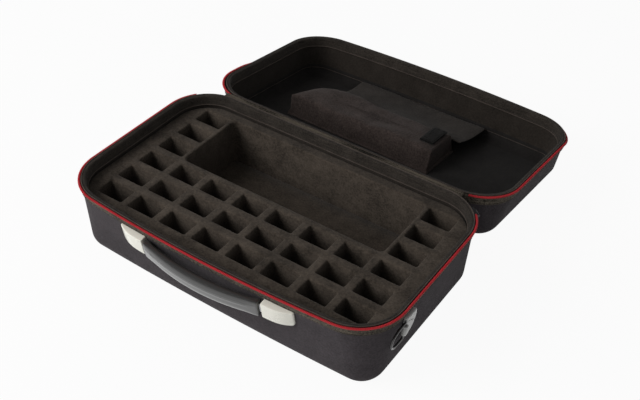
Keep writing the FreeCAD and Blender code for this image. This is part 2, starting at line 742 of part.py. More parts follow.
def strap_ring(label, side):
    """A D of round wire whose straight bar turns in the knuckle."""
    body = new_body(label)
    bar = measure("ring_half_bar")
    corner = measure("ring_corner")
    centre = measure("ring_reach - ring_half_bar")
    axis_out = "%s(seat_gap + ring_axis_out)" % SIGN[side]
    path = new_sketch(body, "path", role="YZ_Plane", offset=axis_out)
    turn = math.pi / 2

    def arc(x, y, radius, start):
        return Part.ArcOfCircle(Part.Circle(Vector(x, y, 0), Vector(0, 0, 1), radius), start, start + turn)

    path.addGeometry([
        Part.LineSegment(Vector(0, corner - bar, 0), Vector(0, bar - corner, 0)),
        arc(-corner, bar - corner, corner, 0),
        Part.LineSegment(Vector(-corner, bar, 0), Vector(-centre, bar, 0)),
        Part.ArcOfCircle(Part.Circle(Vector(-centre, 0, 0), Vector(0, 0, 1), bar), turn, 3 * turn),
        Part.LineSegment(Vector(-centre, -bar, 0), Vector(-corner, -bar, 0)),
        arc(-corner, corner - bar, corner, 3 * turn),
    ], False)
    for edge in range(6):
        path.addConstraint(Sketcher.Constraint("Tangent", edge, 2, (edge + 1) % 6, 1))
    for edge in (2, 4):
        path.addConstraint(Sketcher.Constraint("Horizontal", edge))
    path.addConstraint(Sketcher.Constraint("Equal", 1, 5))
    path.addConstraint(Sketcher.Constraint("PointOnObject", 0, 1, -2))
    path.addConstraint(Sketcher.Constraint("PointOnObject", 3, 3, -1))
    datum(path, "Radius", 1, formula="ring_corner")
    datum(path, "Radius", 3, formula="ring_half_bar")
    datum(path, "DistanceX", 3, 3, -1, 1, formula="ring_reach - ring_half_bar")
    DOC.recompute()
    section = new_sketch(body, "section")
    polygon(section, wire_section("(%s)" % axis_out, "ring_wire"))
    wire = body.newObject("PartDesign::AdditivePipe", label + "_wire")
    wire.Profile = section
    wire.Spine = (path, ["Edge%d" % number for number in range(1, 7)])
    DOC.recompute()
    body.Placement = ring_place(side)


# --- Zipper sliders -------------------------------------------------------------------------------

def slider_place(side):
    """Frame on the back corner: x along the tape, y out of the case, z up."""
    plan = base_plan("(base_rim - slider_drop)", "0")
    corner = measure(plan.corner)
    centre_x = measure(plan.half_width) - corner
    centre_y = measure(plan.back) - corner
    reach = measure("case_width/2 - slider_short")
    turn = math.asin((reach - centre_x) / corner)
    origin = Vector(side * reach, centre_y + corner * math.cos(turn),
                    measure("base_rim - slider_drop"))
    return Placement(origin, Rotation(Vector(0, 0, 1), -side * math.degrees(turn)))


def round_bar(body, name, offset, radius, length):
    """A round bar along the tape at the pull tab's axis."""
    circle = new_sketch(body, name, role="YZ_Plane")
    circle.addGeometry(Part.Circle(Vector(measure(offset), 0, 0), Vector(0, 0, 1), measure(radius)), False)
    datum(circle, "Radius", 0, formula=radius)
    place(circle, 0, 3, offset, "0")
    return circle if length is None else pad(body, name + "_bar", circle, length)


PULL_AXIS = "(slider_thick + seat_gap + eye_radius)"


def slider(label, side):
    """The slider: a tapered block with two ears and the pin that carries the pull tab."""
    body = new_body(label)
    outline = new_sketch(body, "outline")
    nose = "slider_length/4"
    polygon(outline, [
        ("(-slider_length/2)", "seat_gap"),
        ("(slider_length/2)", "seat_gap"),
        ("(slider_length/2)", "(slider_thick*3/4)"),
        ("(%s)" % nose, "slider_thick"),
        ("(-%s)" % nose, "slider_thick"),
        ("(-slider_length/2)", "(slider_thick*3/4)"),
    ])
    pad(body, "block", outline, "slider_height")
    near, far = "(pull_width/2 + seat_gap)", "(pull_width/2 + seat_gap + ear_thick)"
    for name, left, right in (("left_ear", "(-%s)" % far, "(-%s)" % near), ("right_ear", near, far)):
        ear = new_sketch(body, name)
        rectangle(ear, left, "(slider_thick/2)", right, "(%s + eye_radius)" % PULL_AXIS)
        pad(body, name + "_pad", ear, "2*eye_radius")
    round_bar(body, "pin", PULL_AXIS, "pin_radius", "pull_width + 2*seat_gap + ear_thick")
    body.Placement = slider_place(side)


def pull_tab(label, side):
    """The tab that hangs from the slider's pin by its eye."""
    body = new_body(label)
    outline = new_sketch(body, "outline", role="XZ_Plane", offset="-" + PULL_AXIS)
    polygon(outline, [
        ("(-pull_width/2)", "(-pull_length)"),
        ("(pull_width/2)", "(-pull_length)"),
        ("(pull_width/2)", "0"),
        ("(-pull_width/2)", "0"),
    ])
    blank = pad(body, "blank", outline, "pull_thick")
    fillet(body, "corners", blank, upright_edges(blank.Shape, Vector(0, 1, 0)), "pull_width/3")
    round_bar(body, "eye", PULL_AXIS, "eye_radius", "pull_width")
    pocket(body, "bore_cut", round_bar(body, "bore", PULL_AXIS, "(pin_radius + bore_gap)", None))
    body.Placement = slider_place(side)


# --- Soft pouch in the lid ------------------------------------------------------------------------

LID_INNER = "(%s - shell_wall)" % LID_TOP


def pouch():
    """The pouch's body, its open flap, which slopes to the lid's far wall, and its strip of hooks."""
    body = new_body("pouch_body")
    rest = "(%s - seat_gap)" % LID_INNER
    left, right = "(pouch_place_x - pouch_length/2)", "(pouch_place_x + pouch_length/2)"
    front, back = "(pouch_place_y - pouch_depth/2)", "(pouch_place_y + pouch_depth/2)"
    outline = new_sketch(body, "outline", offset="(%s - pouch_height/2)" % rest)
    rectangle(outline, left, front, right, back)
    blank = pad(body, "blank", outline, "pouch_height")
    fillet(body, "corners", blank, upright_edges(blank.Shape, Vector(0, 0, 1)), "pouch_round")

    flap = new_body("pouch_flap")
    near, far = "(%s - seat_gap)" % front, "(%s - seat_gap - flap_depth)" % front
    section = new_sketch(flap, "section", role="YZ_Plane", offset="(pouch_place_x + flap_shift)")
    polygon(section, [
        (near, "(%s - flap_near)" % rest),
        (near, "(%s - flap_near - flap_thick)" % rest),
        (far, "(%s - flap_far - flap_thick)" % rest),
        (far, "(%s - flap_far)" % rest),
    ])
    pad(flap, "cloth", section, "flap_length")

    hooks = new_body("pouch_hook_strip")
    strip_left, strip_front = "(%s - hook_short)" % right, "(%s + hook_front)" % front
    outline = new_sketch(hooks, "outline", offset="(%s - pouch_height - hook_thick/2)" % rest)
    rectangle(outline, strip_left, strip_front, "(%s + hook_width)" % strip_left,
              "(%s + hook_length)" % strip_front)
    pad(hooks, "strip", outline, "hook_thick")
    return [body, flap, hooks]


# --- Assembly -------------------------------------------------------------------------------------

def open_lid(bodies):
    """Turn the lid's pieces about the hinge until the rounded far edge meets the ground."""
    radius = measure("lid_edge")
    lean = math.atan2(measure("front_bow - floor_bow + lid_draft"), measure("lid_depth"))
    far = -measure(lid_plan(LID_TOP, SHELL_INSET).front_middle())
    fillet_y = far + radius * (1 / math.cos(lean) - math.tan(lean)) - measure(AXIS_Y)
    fillet_z = measure(LID_TOP) - radius - measure(AXIS_Z)
    reach = math.hypot(fillet_y, fillet_z)
    angle = math.atan2(-fillet_y, fillet_z) + math.acos((radius - measure(AXIS_Z)) / reach)
    axis = Vector(0, measure(AXIS_Y), measure(AXIS_Z))
    turn = Rotation(Vector(1, 0, 0), -math.degrees(angle))
    for body in bodies:
        body.Placement = Placement(axis - turn.multVec(axis), turn)
    print("lid opens %.3f degrees about y %.3f z %.3f" % (math.degrees(angle), axis.y, axis.z))


def build():
    """Make every sub-part."""
    tray("base_shell", base_plan, FLOOR, "+", BASE_RIM, "base_edge")
    rim_parts("base", base_plan, BASE_RIM, "-", BASE_COIL, "(case_width/2 - base_coil_short)")
    foam_insert()
    hinge_half("hinge_tape_base", BASE_RIM, "+")
    grip()
    for name, side in (("left", -1), ("right", 1)):
        end_cap("handle_cap_" + name, side)
        ring_mount("ring_mount_" + name, side)
        strap_ring("strap_ring_" + name, side)
        slider("zip_slider_" + name, side)
        pull_tab("zip_pull_" + name, side)
    lid = [tray("lid_shell", lid_plan, LID_TOP, "-", LID_RIM, "lid_edge")]
    lid += rim_parts("lid", lid_plan, LID_RIM, "+", LID_COIL, "(case_width/2 - lid_coil_short)")
    lid += pouch()
    lid.append(hinge_half("hinge_tape_lid", LID_RIM, "-"))
    open_lid(lid)


def export():
    """Check every object and write each sub-part's shape."""
    DOC.recompute()
    for item in DOC.Objects:
        if "Invalid" in item.State or "Error" in item.State:
            raise RuntimeError("%s is %s" % (item.Label, item.State))
    for part in PARTS:
        if part.Shape.isNull() or not part.Shape.isValid() or len(part.Shape.Solids) != 1:
            raise RuntimeError("%s has no single valid solid" % part.Label)
    os.makedirs("parts", exist_ok=True)
    for part in PARTS:
        part.Shape.exportStep("parts/%s.step" % part.Label)
        box = part.Shape.BoundBox
        print("%-20s %9.0f mm3  x %.1f..%.1f y %.1f..%.1f z %.1f..%.1f" % (
            part.Label, part.Shape.Volume, box.XMin, box.XMax, box.YMin, box.YMax, box.ZMin, box.ZMax))


build()
export()
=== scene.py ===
"""A zippered moulded case for mouth organs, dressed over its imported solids."""

import logging
import math
from dataclasses import dataclass
from enum import Enum
from typing import Callable, Iterable, Mapping, Sequence, Union

import bmesh
import bpy
from mathutils import Matrix, Vector, noise
from mathutils.geometry import tessellate_polygon


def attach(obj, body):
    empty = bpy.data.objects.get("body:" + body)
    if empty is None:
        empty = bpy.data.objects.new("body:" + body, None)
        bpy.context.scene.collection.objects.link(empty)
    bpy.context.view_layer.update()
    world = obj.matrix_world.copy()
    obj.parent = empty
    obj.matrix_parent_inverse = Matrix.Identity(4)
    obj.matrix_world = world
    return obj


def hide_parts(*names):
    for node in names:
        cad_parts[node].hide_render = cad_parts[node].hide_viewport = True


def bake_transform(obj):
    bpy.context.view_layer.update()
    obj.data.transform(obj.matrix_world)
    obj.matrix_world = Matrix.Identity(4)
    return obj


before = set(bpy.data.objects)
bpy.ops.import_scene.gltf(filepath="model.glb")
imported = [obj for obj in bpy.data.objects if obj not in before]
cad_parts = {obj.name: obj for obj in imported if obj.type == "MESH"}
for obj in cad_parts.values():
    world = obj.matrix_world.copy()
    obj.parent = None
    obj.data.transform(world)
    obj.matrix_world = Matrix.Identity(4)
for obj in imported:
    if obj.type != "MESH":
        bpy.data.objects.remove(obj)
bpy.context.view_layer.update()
LOG = logging.getLogger("case")

Loop = list[Vector]
Pair = tuple[float, float]
Box = tuple[float, float, float, float]
Colour = tuple[float, float, float]


# --- Shaders ---------------------------------------------------------------------------------


class Signal:
    """A number that a shader works out, written as plain arithmetic."""

    def __init__(self, recipe: "Recipe", socket: bpy.types.NodeSocket) -> None:
        """Wrap one output socket.

        Args:
            recipe: The material that the socket belongs to.
            socket: The output to wrap.
        """
        self.recipe = recipe
        self.socket = socket

    def _math(self, operation: str, *values: "Number") -> "Signal":
        """Add one Math node and return its result."""
        inputs = dict(enumerate(values))
        found = self.recipe.node("ShaderNodeMath", {"operation": operation}, inputs)
        return Signal(self.recipe, found.outputs[0])

    def __add__(self, other: "Number") -> "Signal":
        """Sum."""
        return self._math("ADD", self, other)

    def __radd__(self, other: "Number") -> "Signal":
        """Sum with a plain number first."""
        return self._math("ADD", other, self)

    def __sub__(self, other: "Number") -> "Signal":
        """Difference."""
        return self._math("SUBTRACT", self, other)

    def __rsub__(self, other: "Number") -> "Signal":
        """Difference with a plain number first."""
        return self._math("SUBTRACT", other, self)

    def __mul__(self, other: "Number") -> "Signal":
        """Product."""
        return self._math("MULTIPLY", self, other)

    def __rmul__(self, other: "Number") -> "Signal":
        """Product with a plain number first."""
        return self._math("MULTIPLY", other, self)

    def __truediv__(self, other: "Number") -> "Signal":
        """Quotient."""
        return self._math("DIVIDE", self, other)

    def __pow__(self, other: "Number") -> "Signal":
        """Power."""
        return self._math("POWER", self, other)

    def sine(self) -> "Signal":
        """Sine of an angle in radians."""
        return self._math("SINE", self)

    def size(self) -> "Signal":
        """Absolute value."""
        return self._math("ABSOLUTE", self)

    def fraction(self) -> "Signal":
        """The part after the point."""
        return self._math("FRACT", self)

    def whole(self) -> "Signal":
        """The part before the point."""
        return self._math("FLOOR", self)

    def least(self, other: "Number") -> "Signal":
        """The smaller of two."""
        return self._math("MINIMUM", self, other)

    def most(self, other: "Number") -> "Signal":
        """The larger of two."""
        return self._math("MAXIMUM", self, other)

    def above(self, other: "Number") -> "Signal":
        """1 where this is larger than the other, else 0."""
        return self._math("GREATER_THAN", self, other)

    def spread(self, low: float, high: float) -> "Signal":
        """A smooth step from 0 at low to 1 at high."""
        found = self.recipe.node(
            "ShaderNodeMapRange",
            {"interpolation_type": "SMOOTHSTEP", "clamp": True},
            {"Value": self, "From Min": low, "From Max": high},
        )
        return Signal(self.recipe, found.outputs[0])


Number = Union[Signal, float, int]


class Recipe:
    """One material while its nodes are put together."""

    def __init__(self, name: str) -> None:
        """Start an empty material.

        Args:
            name: The finish's name.
        """
        self.material = bpy.data.materials.new(name)
        self.material.use_nodes = True
        self.tree = self.material.node_tree
        self.tree.nodes.clear()

    @classmethod
    def on(cls, tree: bpy.types.NodeTree) -> "Recipe":
        """A recipe on the nodes of something that isn't a material."""
        recipe = cls.__new__(cls)
        recipe.tree = tree
        tree.nodes.clear()
        return recipe

    def node(
        self,
        kind: str,
        settings: Mapping[str, object] | None = None,
        inputs: Mapping[str | int, object] | None = None,
    ) -> bpy.types.Node:
        """Make any node.

        Args:
            kind: The node's type.
            settings: Values set on the node first; "stops" fills a ramp with (place, colour) pairs.
            inputs: Values or links of its sockets, by name or number.

        Returns:
            The new node.
        """
        made = self.tree.nodes.new(kind)
        for name, value in (settings or {}).items():
            if name == "stops":
                ramp = made.color_ramp
                for place, (at, colour) in enumerate(value):
                    stop = ramp.elements[place] if place < 2 else ramp.elements.new(at)
                    stop.position, stop.color = at, (*colour, 1.0)
            else:
                setattr(made, name, value)
        for name, value in (inputs or {}).items():
            socket = made.inputs[name]
            if isinstance(value, Signal):
                value = value.socket
            if isinstance(value, bpy.types.NodeSocket):
                self.tree.links.new(value, socket)
            else:
                socket.default_value = value
        return made

    def axes(self, space: str = "Object") -> tuple[Signal, Signal, Signal]:
        """The three numbers of a texture coordinate, in metres for "Object" and "UV".

        Args:
            space: The coordinate's name.

        Returns:
            Its x, y and z.
        """
        place = self.node("ShaderNodeTexCoord").outputs[space]
        parts = self.node("ShaderNodeSeparateXYZ", None, {0: place}).outputs
        return tuple(Signal(self, part) for part in parts)

    def cloud(
        self, scale: float, detail: float = 3.0, space: str = "Object", rough: float = 0.55
    ) -> Signal:
        """Soft noise between 0 and 1.

        Args:
            scale: Features per metre.
            detail: Layers of finer noise.
            space: "Object" or "UV".
            rough: Strength of the finer layers.

        Returns:
            The noise.
        """
        place = self.node("ShaderNodeTexCoord").outputs[space]
        found = self.node(
            "ShaderNodeTexNoise",
            None,
            {"Vector": place, "Scale": scale, "Detail": detail, "Roughness": rough},
        )
        return Signal(self, found.outputs[0])

    def blend(self, share: Number, first: object, second: object) -> bpy.types.NodeSocket:
        """Mix two colours.

        Args:
            share: How much of the second colour shows.
            first: A colour or a colour socket.
            second: A colour or a colour socket.

        Returns:
            The mixed colour.
        """
        colours = [
            (*colour, 1.0) if isinstance(colour, tuple) and len(colour) == 3 else colour
            for colour in (first, second)
        ]
        found = self.node(
            "ShaderNodeMix",
            {"data_type": "RGBA", "clamp_factor": True},
            {0: share, 6: colours[0], 7: colours[1]},
        )
        return found.outputs[2]

    def relief(self, height: Signal, depth: float, strength: float = 1.0) -> bpy.types.NodeSocket:
        """A bump from a height.

        Args:
            height: The height, 0 to 1.
            depth: Its depth in metres.
            strength: How much of it shows.

        Returns:
            The normal.
        """
        found = self.node(
            "ShaderNodeBump", None, {"Height": height, "Distance": depth, "Strength": strength}
        )
        return found.outputs[0]

    def finish(self, colour: object, roughness: Number, **sockets: object) -> bpy.types.Material:
        """Close the material with one shader.

        Args:
            colour: Its colour or a colour socket.
            roughness: Its roughness.
            **sockets: The shader's other sockets, with _ for a space.

        Returns:
            The material.
        """
        if isinstance(colour, tuple):
            colour = (*colour, 1.0)
        values = {"Base Color": colour, "Roughness": roughness}
        values.update({name.replace("_", " "): value for name, value in sockets.items()})
        shader = self.node("ShaderNodeBsdfPrincipled", None, values)
        self.node("ShaderNodeOutputMaterial", None, {"Surface": shader.outputs[0]})
        return self.material


def dyed(colour: Colour, spread: float = 0.5) -> tuple[Colour, Colour]:
    """The darker and lighter ends of an uneven dye, whose middle is a colour."""
    return tuple(c * (1 - spread) for c in colour), tuple(c * (1 + spread) for c in colour)


def dusty(colour: Colour, dust: float) -> Colour:
    """The colour of the dust and lint that lie on a dyed surface."""
    return tuple(min(1.0, 2.2 * c + dust) for c in colour)


class Weave(Enum):
    """How the threads of a cloth cross."""

    PLAIN = 1
    BASKET = 2
    KNIT = 3


@dataclass(frozen=True)
class Cloth:
    """A woven cloth: crossing threads, slubs, uneven dye, lint and rubbed spots."""

    name: str
    shade: Colour
    light: Colour
    pitch: float = 0.0009
    weave: Weave = Weave.PLAIN
    space: str = "UV"
    depth: float = 0.00016
    roughness: float = 0.84
    sheen: float = 0.06
    slubs: float = 520.0
    uneven: float = 1.5

    def make(self) -> bpy.types.Material:
        """Build the cloth's material."""
        recipe = Recipe(self.name)
        x, y, z = recipe.axes(self.space)
        if self.space == "Object":
            x, y = x + 0.37 * z, y + 0.93 * z
        wander = recipe.cloud(160.0, 2.0, self.space) - 0.5
        u, v = x / self.pitch + wander * 0.35, y / self.pitch + wander * 0.35
        across, along = (u * math.pi).sine().size(), (v * math.pi).sine().size()
        step = self.weave.value if self.weave is not Weave.KNIT else 1
        over = ((u / step).whole() + (v / step).whole()) * 0.5
        over = (over.fraction() * 2).above(0.5)
        warp = (across ** 0.5) * (0.55 + 0.45 * along)
        weft = (along ** 0.5) * (0.55 + 0.45 * across)
        thread = warp * over + weft * (1 - over)
        if self.weave is Weave.KNIT:
            thread = ((v + (u * math.pi).sine() * 0.25).fraction() - 0.5).size() * 2
        slub = recipe.cloud(self.slubs, 3.0, rough=0.7) - 0.5
        mottle = recipe.cloud(60.0, 3.0) - 0.5
        dye = recipe.cloud(9.0, 3.0) - 0.5
        lint = recipe.cloud(900.0, 2.0).spread(0.68, 0.82)
        tone = 0.38 + 0.2 * thread + self.uneven * slub + 0.7 * mottle + 0.5 * dye
        colour = recipe.blend(tone.most(0.0).least(1.0), self.shade, self.light)
        colour = recipe.blend(lint * 0.3, colour, dusty(self.light, 0.015))
        rough = (self.roughness + 0.12 * (1 - thread) - 0.1 * mottle).least(1.0)
        height = 0.6 * thread + 0.8 * slub
        return recipe.finish(
            colour,
            rough,
            Sheen_Weight=self.sheen,
            Sheen_Roughness=0.5,
            Specular_IOR_Level=0.12,
            Normal=recipe.relief(height, self.depth, 0.8),
        )


@dataclass(frozen=True)
class Ribbing:
    """A narrow woven tape: ribs along it, crossed by threads, rubbed pale in patches."""

    name: str
    shade: Colour
    light: Colour
    pitch: float = 0.0012
    roughness: float = 0.8
    contrast: float = 0.45
    grain: float = 1.3
    streaky: float = 0.6
    drawn_out: tuple[float, float, float] = (0.04, 1.0, 1.0)

    def streak(self, recipe: Recipe) -> Signal:
        """Threads that run light and dark for a long way along the tape."""
        place = recipe.node("ShaderNodeTexCoord").outputs["UV"]
        place = recipe.node("ShaderNodeMapping", None, {"Vector": place, "Scale": self.drawn_out})
        found = recipe.node(
            "ShaderNodeTexNoise",
            None,
            {"Vector": place.outputs[0], "Scale": 1.0 / self.pitch, "Detail": 2.0},
        )
        return Signal(recipe, found.outputs[0]) - 0.5

    def make(self) -> bpy.types.Material:
        """Build the tape's material."""
        recipe = Recipe(self.name)
        u, v, _ = recipe.axes("UV")
        ribs = ((v / self.pitch) * math.pi).sine().size()
        stagger = (v / self.pitch).whole() * 0.5
        cross = ((u / (self.pitch * 0.55) + stagger) * math.pi).sine().size()
        thread = (ribs ** 0.6) * (0.6 + 0.4 * cross)
        slub = recipe.cloud(600.0, 3.0, rough=0.7) - 0.5
        mottle = recipe.cloud(60.0, 3.0) - 0.5
        worn = recipe.cloud(24.0, 4.0).spread(0.5, 0.7)
        uneven = self.grain * (slub + self.streaky * self.streak(recipe))
        tone = 0.2 + self.contrast * thread + uneven + 0.7 * mottle + 0.15 * worn
        return recipe.finish(
            recipe.blend(tone.most(0.0).least(1.0), self.shade, self.light),
            (self.roughness + 0.12 * (1 - thread)).least(1.0),
            Sheen_Weight=0.05,
            Specular_IOR_Level=0.15,
            Normal=recipe.relief(thread + 0.5 * slub, 0.0002, 0.8),
        )


@dataclass(frozen=True)
class Foam:
    """Closed-cell foam with a flocked face: fine cells, soft mottling and dust."""

    name: str
    shade: Colour
    light: Colour

    def make(self) -> bpy.types.Material:
        """Build the foam's material."""
        recipe = Recipe(self.name)
        place = recipe.node("ShaderNodeTexCoord").outputs["Object"]
        cells = Signal(
            recipe,
            recipe.node(
                "ShaderNodeTexVoronoi", {"feature": "F1"}, {"Vector": place, "Scale": 1500.0}
            ).outputs[0],
        )
        mottle = recipe.cloud(22.0, 4.0) - 0.5
        blotch = recipe.cloud(75.0, 3.0) - 0.5
        nap = recipe.cloud(480.0, 3.0, rough=0.7) - 0.5
        dust = recipe.cloud(1100.0, 1.0).spread(0.7, 0.82)
        tone = 0.4 + 1.2 * mottle + 1.0 * blotch + 1.9 * nap + 0.2 * cells
        colour = recipe.blend(tone.most(0.0).least(1.0), self.shade, self.light)
        colour = recipe.blend(dust * 0.3, colour, dusty(self.light, 0.012))
        height = 0.8 * nap + 0.3 * cells
        return recipe.finish(
            colour,
            (0.9 + 0.2 * nap).least(1.0),
            Sheen_Weight=0.08,
            Sheen_Roughness=0.5,
            Specular_IOR_Level=0.1,
            Normal=recipe.relief(height, 0.00025, 0.8),
        )


@dataclass(frozen=True)
class Moulding:
    """Moulded plastic or rubber: fine spark grain, mottled gloss and rubbed spots."""

    name: str
    shade: Colour
    light: Colour
    roughness: float
    grain: float = 900.0
    depth: float = 0.00006
    coat: float = 0.0

    def make(self) -> bpy.types.Material:
        """Build the moulding's material."""
        recipe = Recipe(self.name)
        fine = recipe.cloud(self.grain, 3.0)
        broad = recipe.cloud(28.0, 4.0)
        rubbed = recipe.cloud(60.0, 5.0, rough=0.7).spread(0.56, 0.72)
        tone = (0.65 * broad + 0.3 * fine).least(1.0)
        rough = self.roughness + 0.1 * (broad - 0.5) + 0.08 * rubbed + 0.05 * (fine - 0.5)
        return recipe.finish(
            recipe.blend(tone, self.shade, self.light),
            rough.most(0.05),
            Coat_Weight=self.coat,
            Coat_Roughness=0.2,
            Normal=recipe.relief(fine, self.depth, 0.5),
        )


@dataclass(frozen=True)
class Metal:
    """Plated or enamelled metal: a fine drawn grain, small scratches and dull patches."""

    name: str
    shade: Colour
    light: Colour
    roughness: float
    metallic: float = 1.0

    def make(self) -> bpy.types.Material:
        """Build the metal's material."""
        recipe = Recipe(self.name)
        x, y, z = recipe.axes()
        drawn = recipe.cloud(2400.0, 2.0)
        dull = recipe.cloud(130.0, 4.0)
        scratch = ((x * 900 + y * 1400 + z * 500 + drawn * 2).sine().size()).spread(0.94, 1.0)
        colour = recipe.blend((0.7 * dull + 0.3 * drawn).least(1.0), self.shade, self.light)
        rough = (self.roughness + 0.2 * (dull - 0.4) + 0.12 * scratch).most(0.08)
        return recipe.finish(
            colour,
            rough,
            Metallic=self.metallic,
            Normal=recipe.relief(drawn + scratch * 0.4, 0.00003, 0.5),
        )


@dataclass(frozen=True)
class Teeth:
    """The moulded coil of the zipper, uneven in dye."""

    name: str
    shade: Colour
    light: Colour

    def make(self) -> bpy.types.Material:
        """Build the coil's material."""
        recipe = Recipe(self.name)
        broad = recipe.cloud(40.0, 3.0)
        fine = recipe.cloud(1500.0, 2.0)
        return recipe.finish(
            recipe.blend((0.7 * broad + 0.4 * fine).least(1.0), self.shade, self.light),
            0.5 + 0.15 * broad,
            Specular_IOR_Level=0.3,
            Normal=recipe.relief(fine, 0.00004, 0.4),
        )


class Finishes:
    """Every finish of the case, made once."""

    def __init__(self) -> None:
        """Build all the materials."""
        self.shell = Cloth(
            "shell_weave", *dyed((0.050, 0.043, 0.047)), 0.0010, Weave.BASKET
        ).make()
        self.lining = Cloth("lining_knit", *dyed((0.026, 0.0215, 0.018)), 0.0011).make()
        self.bottom = Cloth(
            "lining_floor", *dyed((0.0185, 0.0168, 0.0160)), 0.0011, uneven=1.0
        ).make()
        self.tape = Ribbing("zip_tape_ribs", *dyed((0.082, 0.069, 0.053), 0.8), grain=2.8).make()
        self.binding = Ribbing(
            "binding_ribs", *dyed((0.036, 0.030, 0.025), 0.7), 0.0009, grain=1.8
        ).make()
        self.hinge = Ribbing(
            "hinge_webbing", *dyed((0.056, 0.047, 0.036), 0.9), 0.0030,
            contrast=1.1, grain=2.6, streaky=1.7,
        ).make()
        self.thread = Ribbing("sewing_thread", *dyed((0.050, 0.045, 0.040)), 0.0005).make()
        self.seam = Ribbing("seam_edge", *dyed((0.085, 0.068, 0.058)), 0.0006).make()
        self.foam = Foam("flocked_foam", *dyed((0.066, 0.053, 0.042), 0.55)).make()
        self.coil = Teeth("coil_red", (0.36, 0.012, 0.020), (0.58, 0.034, 0.042)).make()
        self.cap = Moulding(
            "cap_gloss", (0.82, 0.805, 0.71), (0.90, 0.885, 0.79), 0.28, coat=0.25
        ).make()
        self.mount = Moulding(
            "mount_satin", (0.34, 0.34, 0.33), (0.52, 0.515, 0.50), 0.36
        ).make()
        self.grip = Moulding(
            "grip_rubber", (0.026, 0.025, 0.024), (0.046, 0.045, 0.044), 0.34, coat=0.8
        ).make()
        self.core = Metal("spring_strip", (0.42, 0.42, 0.43), (0.6, 0.6, 0.61), 0.34).make()
        self.ring = Metal(
            "ring_gunmetal", (0.045, 0.043, 0.043), (0.090, 0.086, 0.086), 0.25
        ).make()
        self.slider = Metal(
            "slider_enamel", (0.014, 0.014, 0.015), (0.035, 0.034, 0.035), 0.32, 0.4
        ).make()
        self.pouch = Cloth(
            "pouch_cloth", *dyed((0.051, 0.039, 0.035), 0.7), 0.0011, space="Object"
        ).make()
        self.flap = Cloth("flap_cloth", *dyed((0.042, 0.036, 0.032), 0.6), 0.0011).make()
        self.hooks = Cloth(
            "hook_tape", (0.004, 0.004, 0.004), (0.016, 0.014, 0.013), 0.0014,
            Weave.KNIT, depth=0.0005,
        ).make()


# --- Mesh tools ------------------------------------------------------------------------------


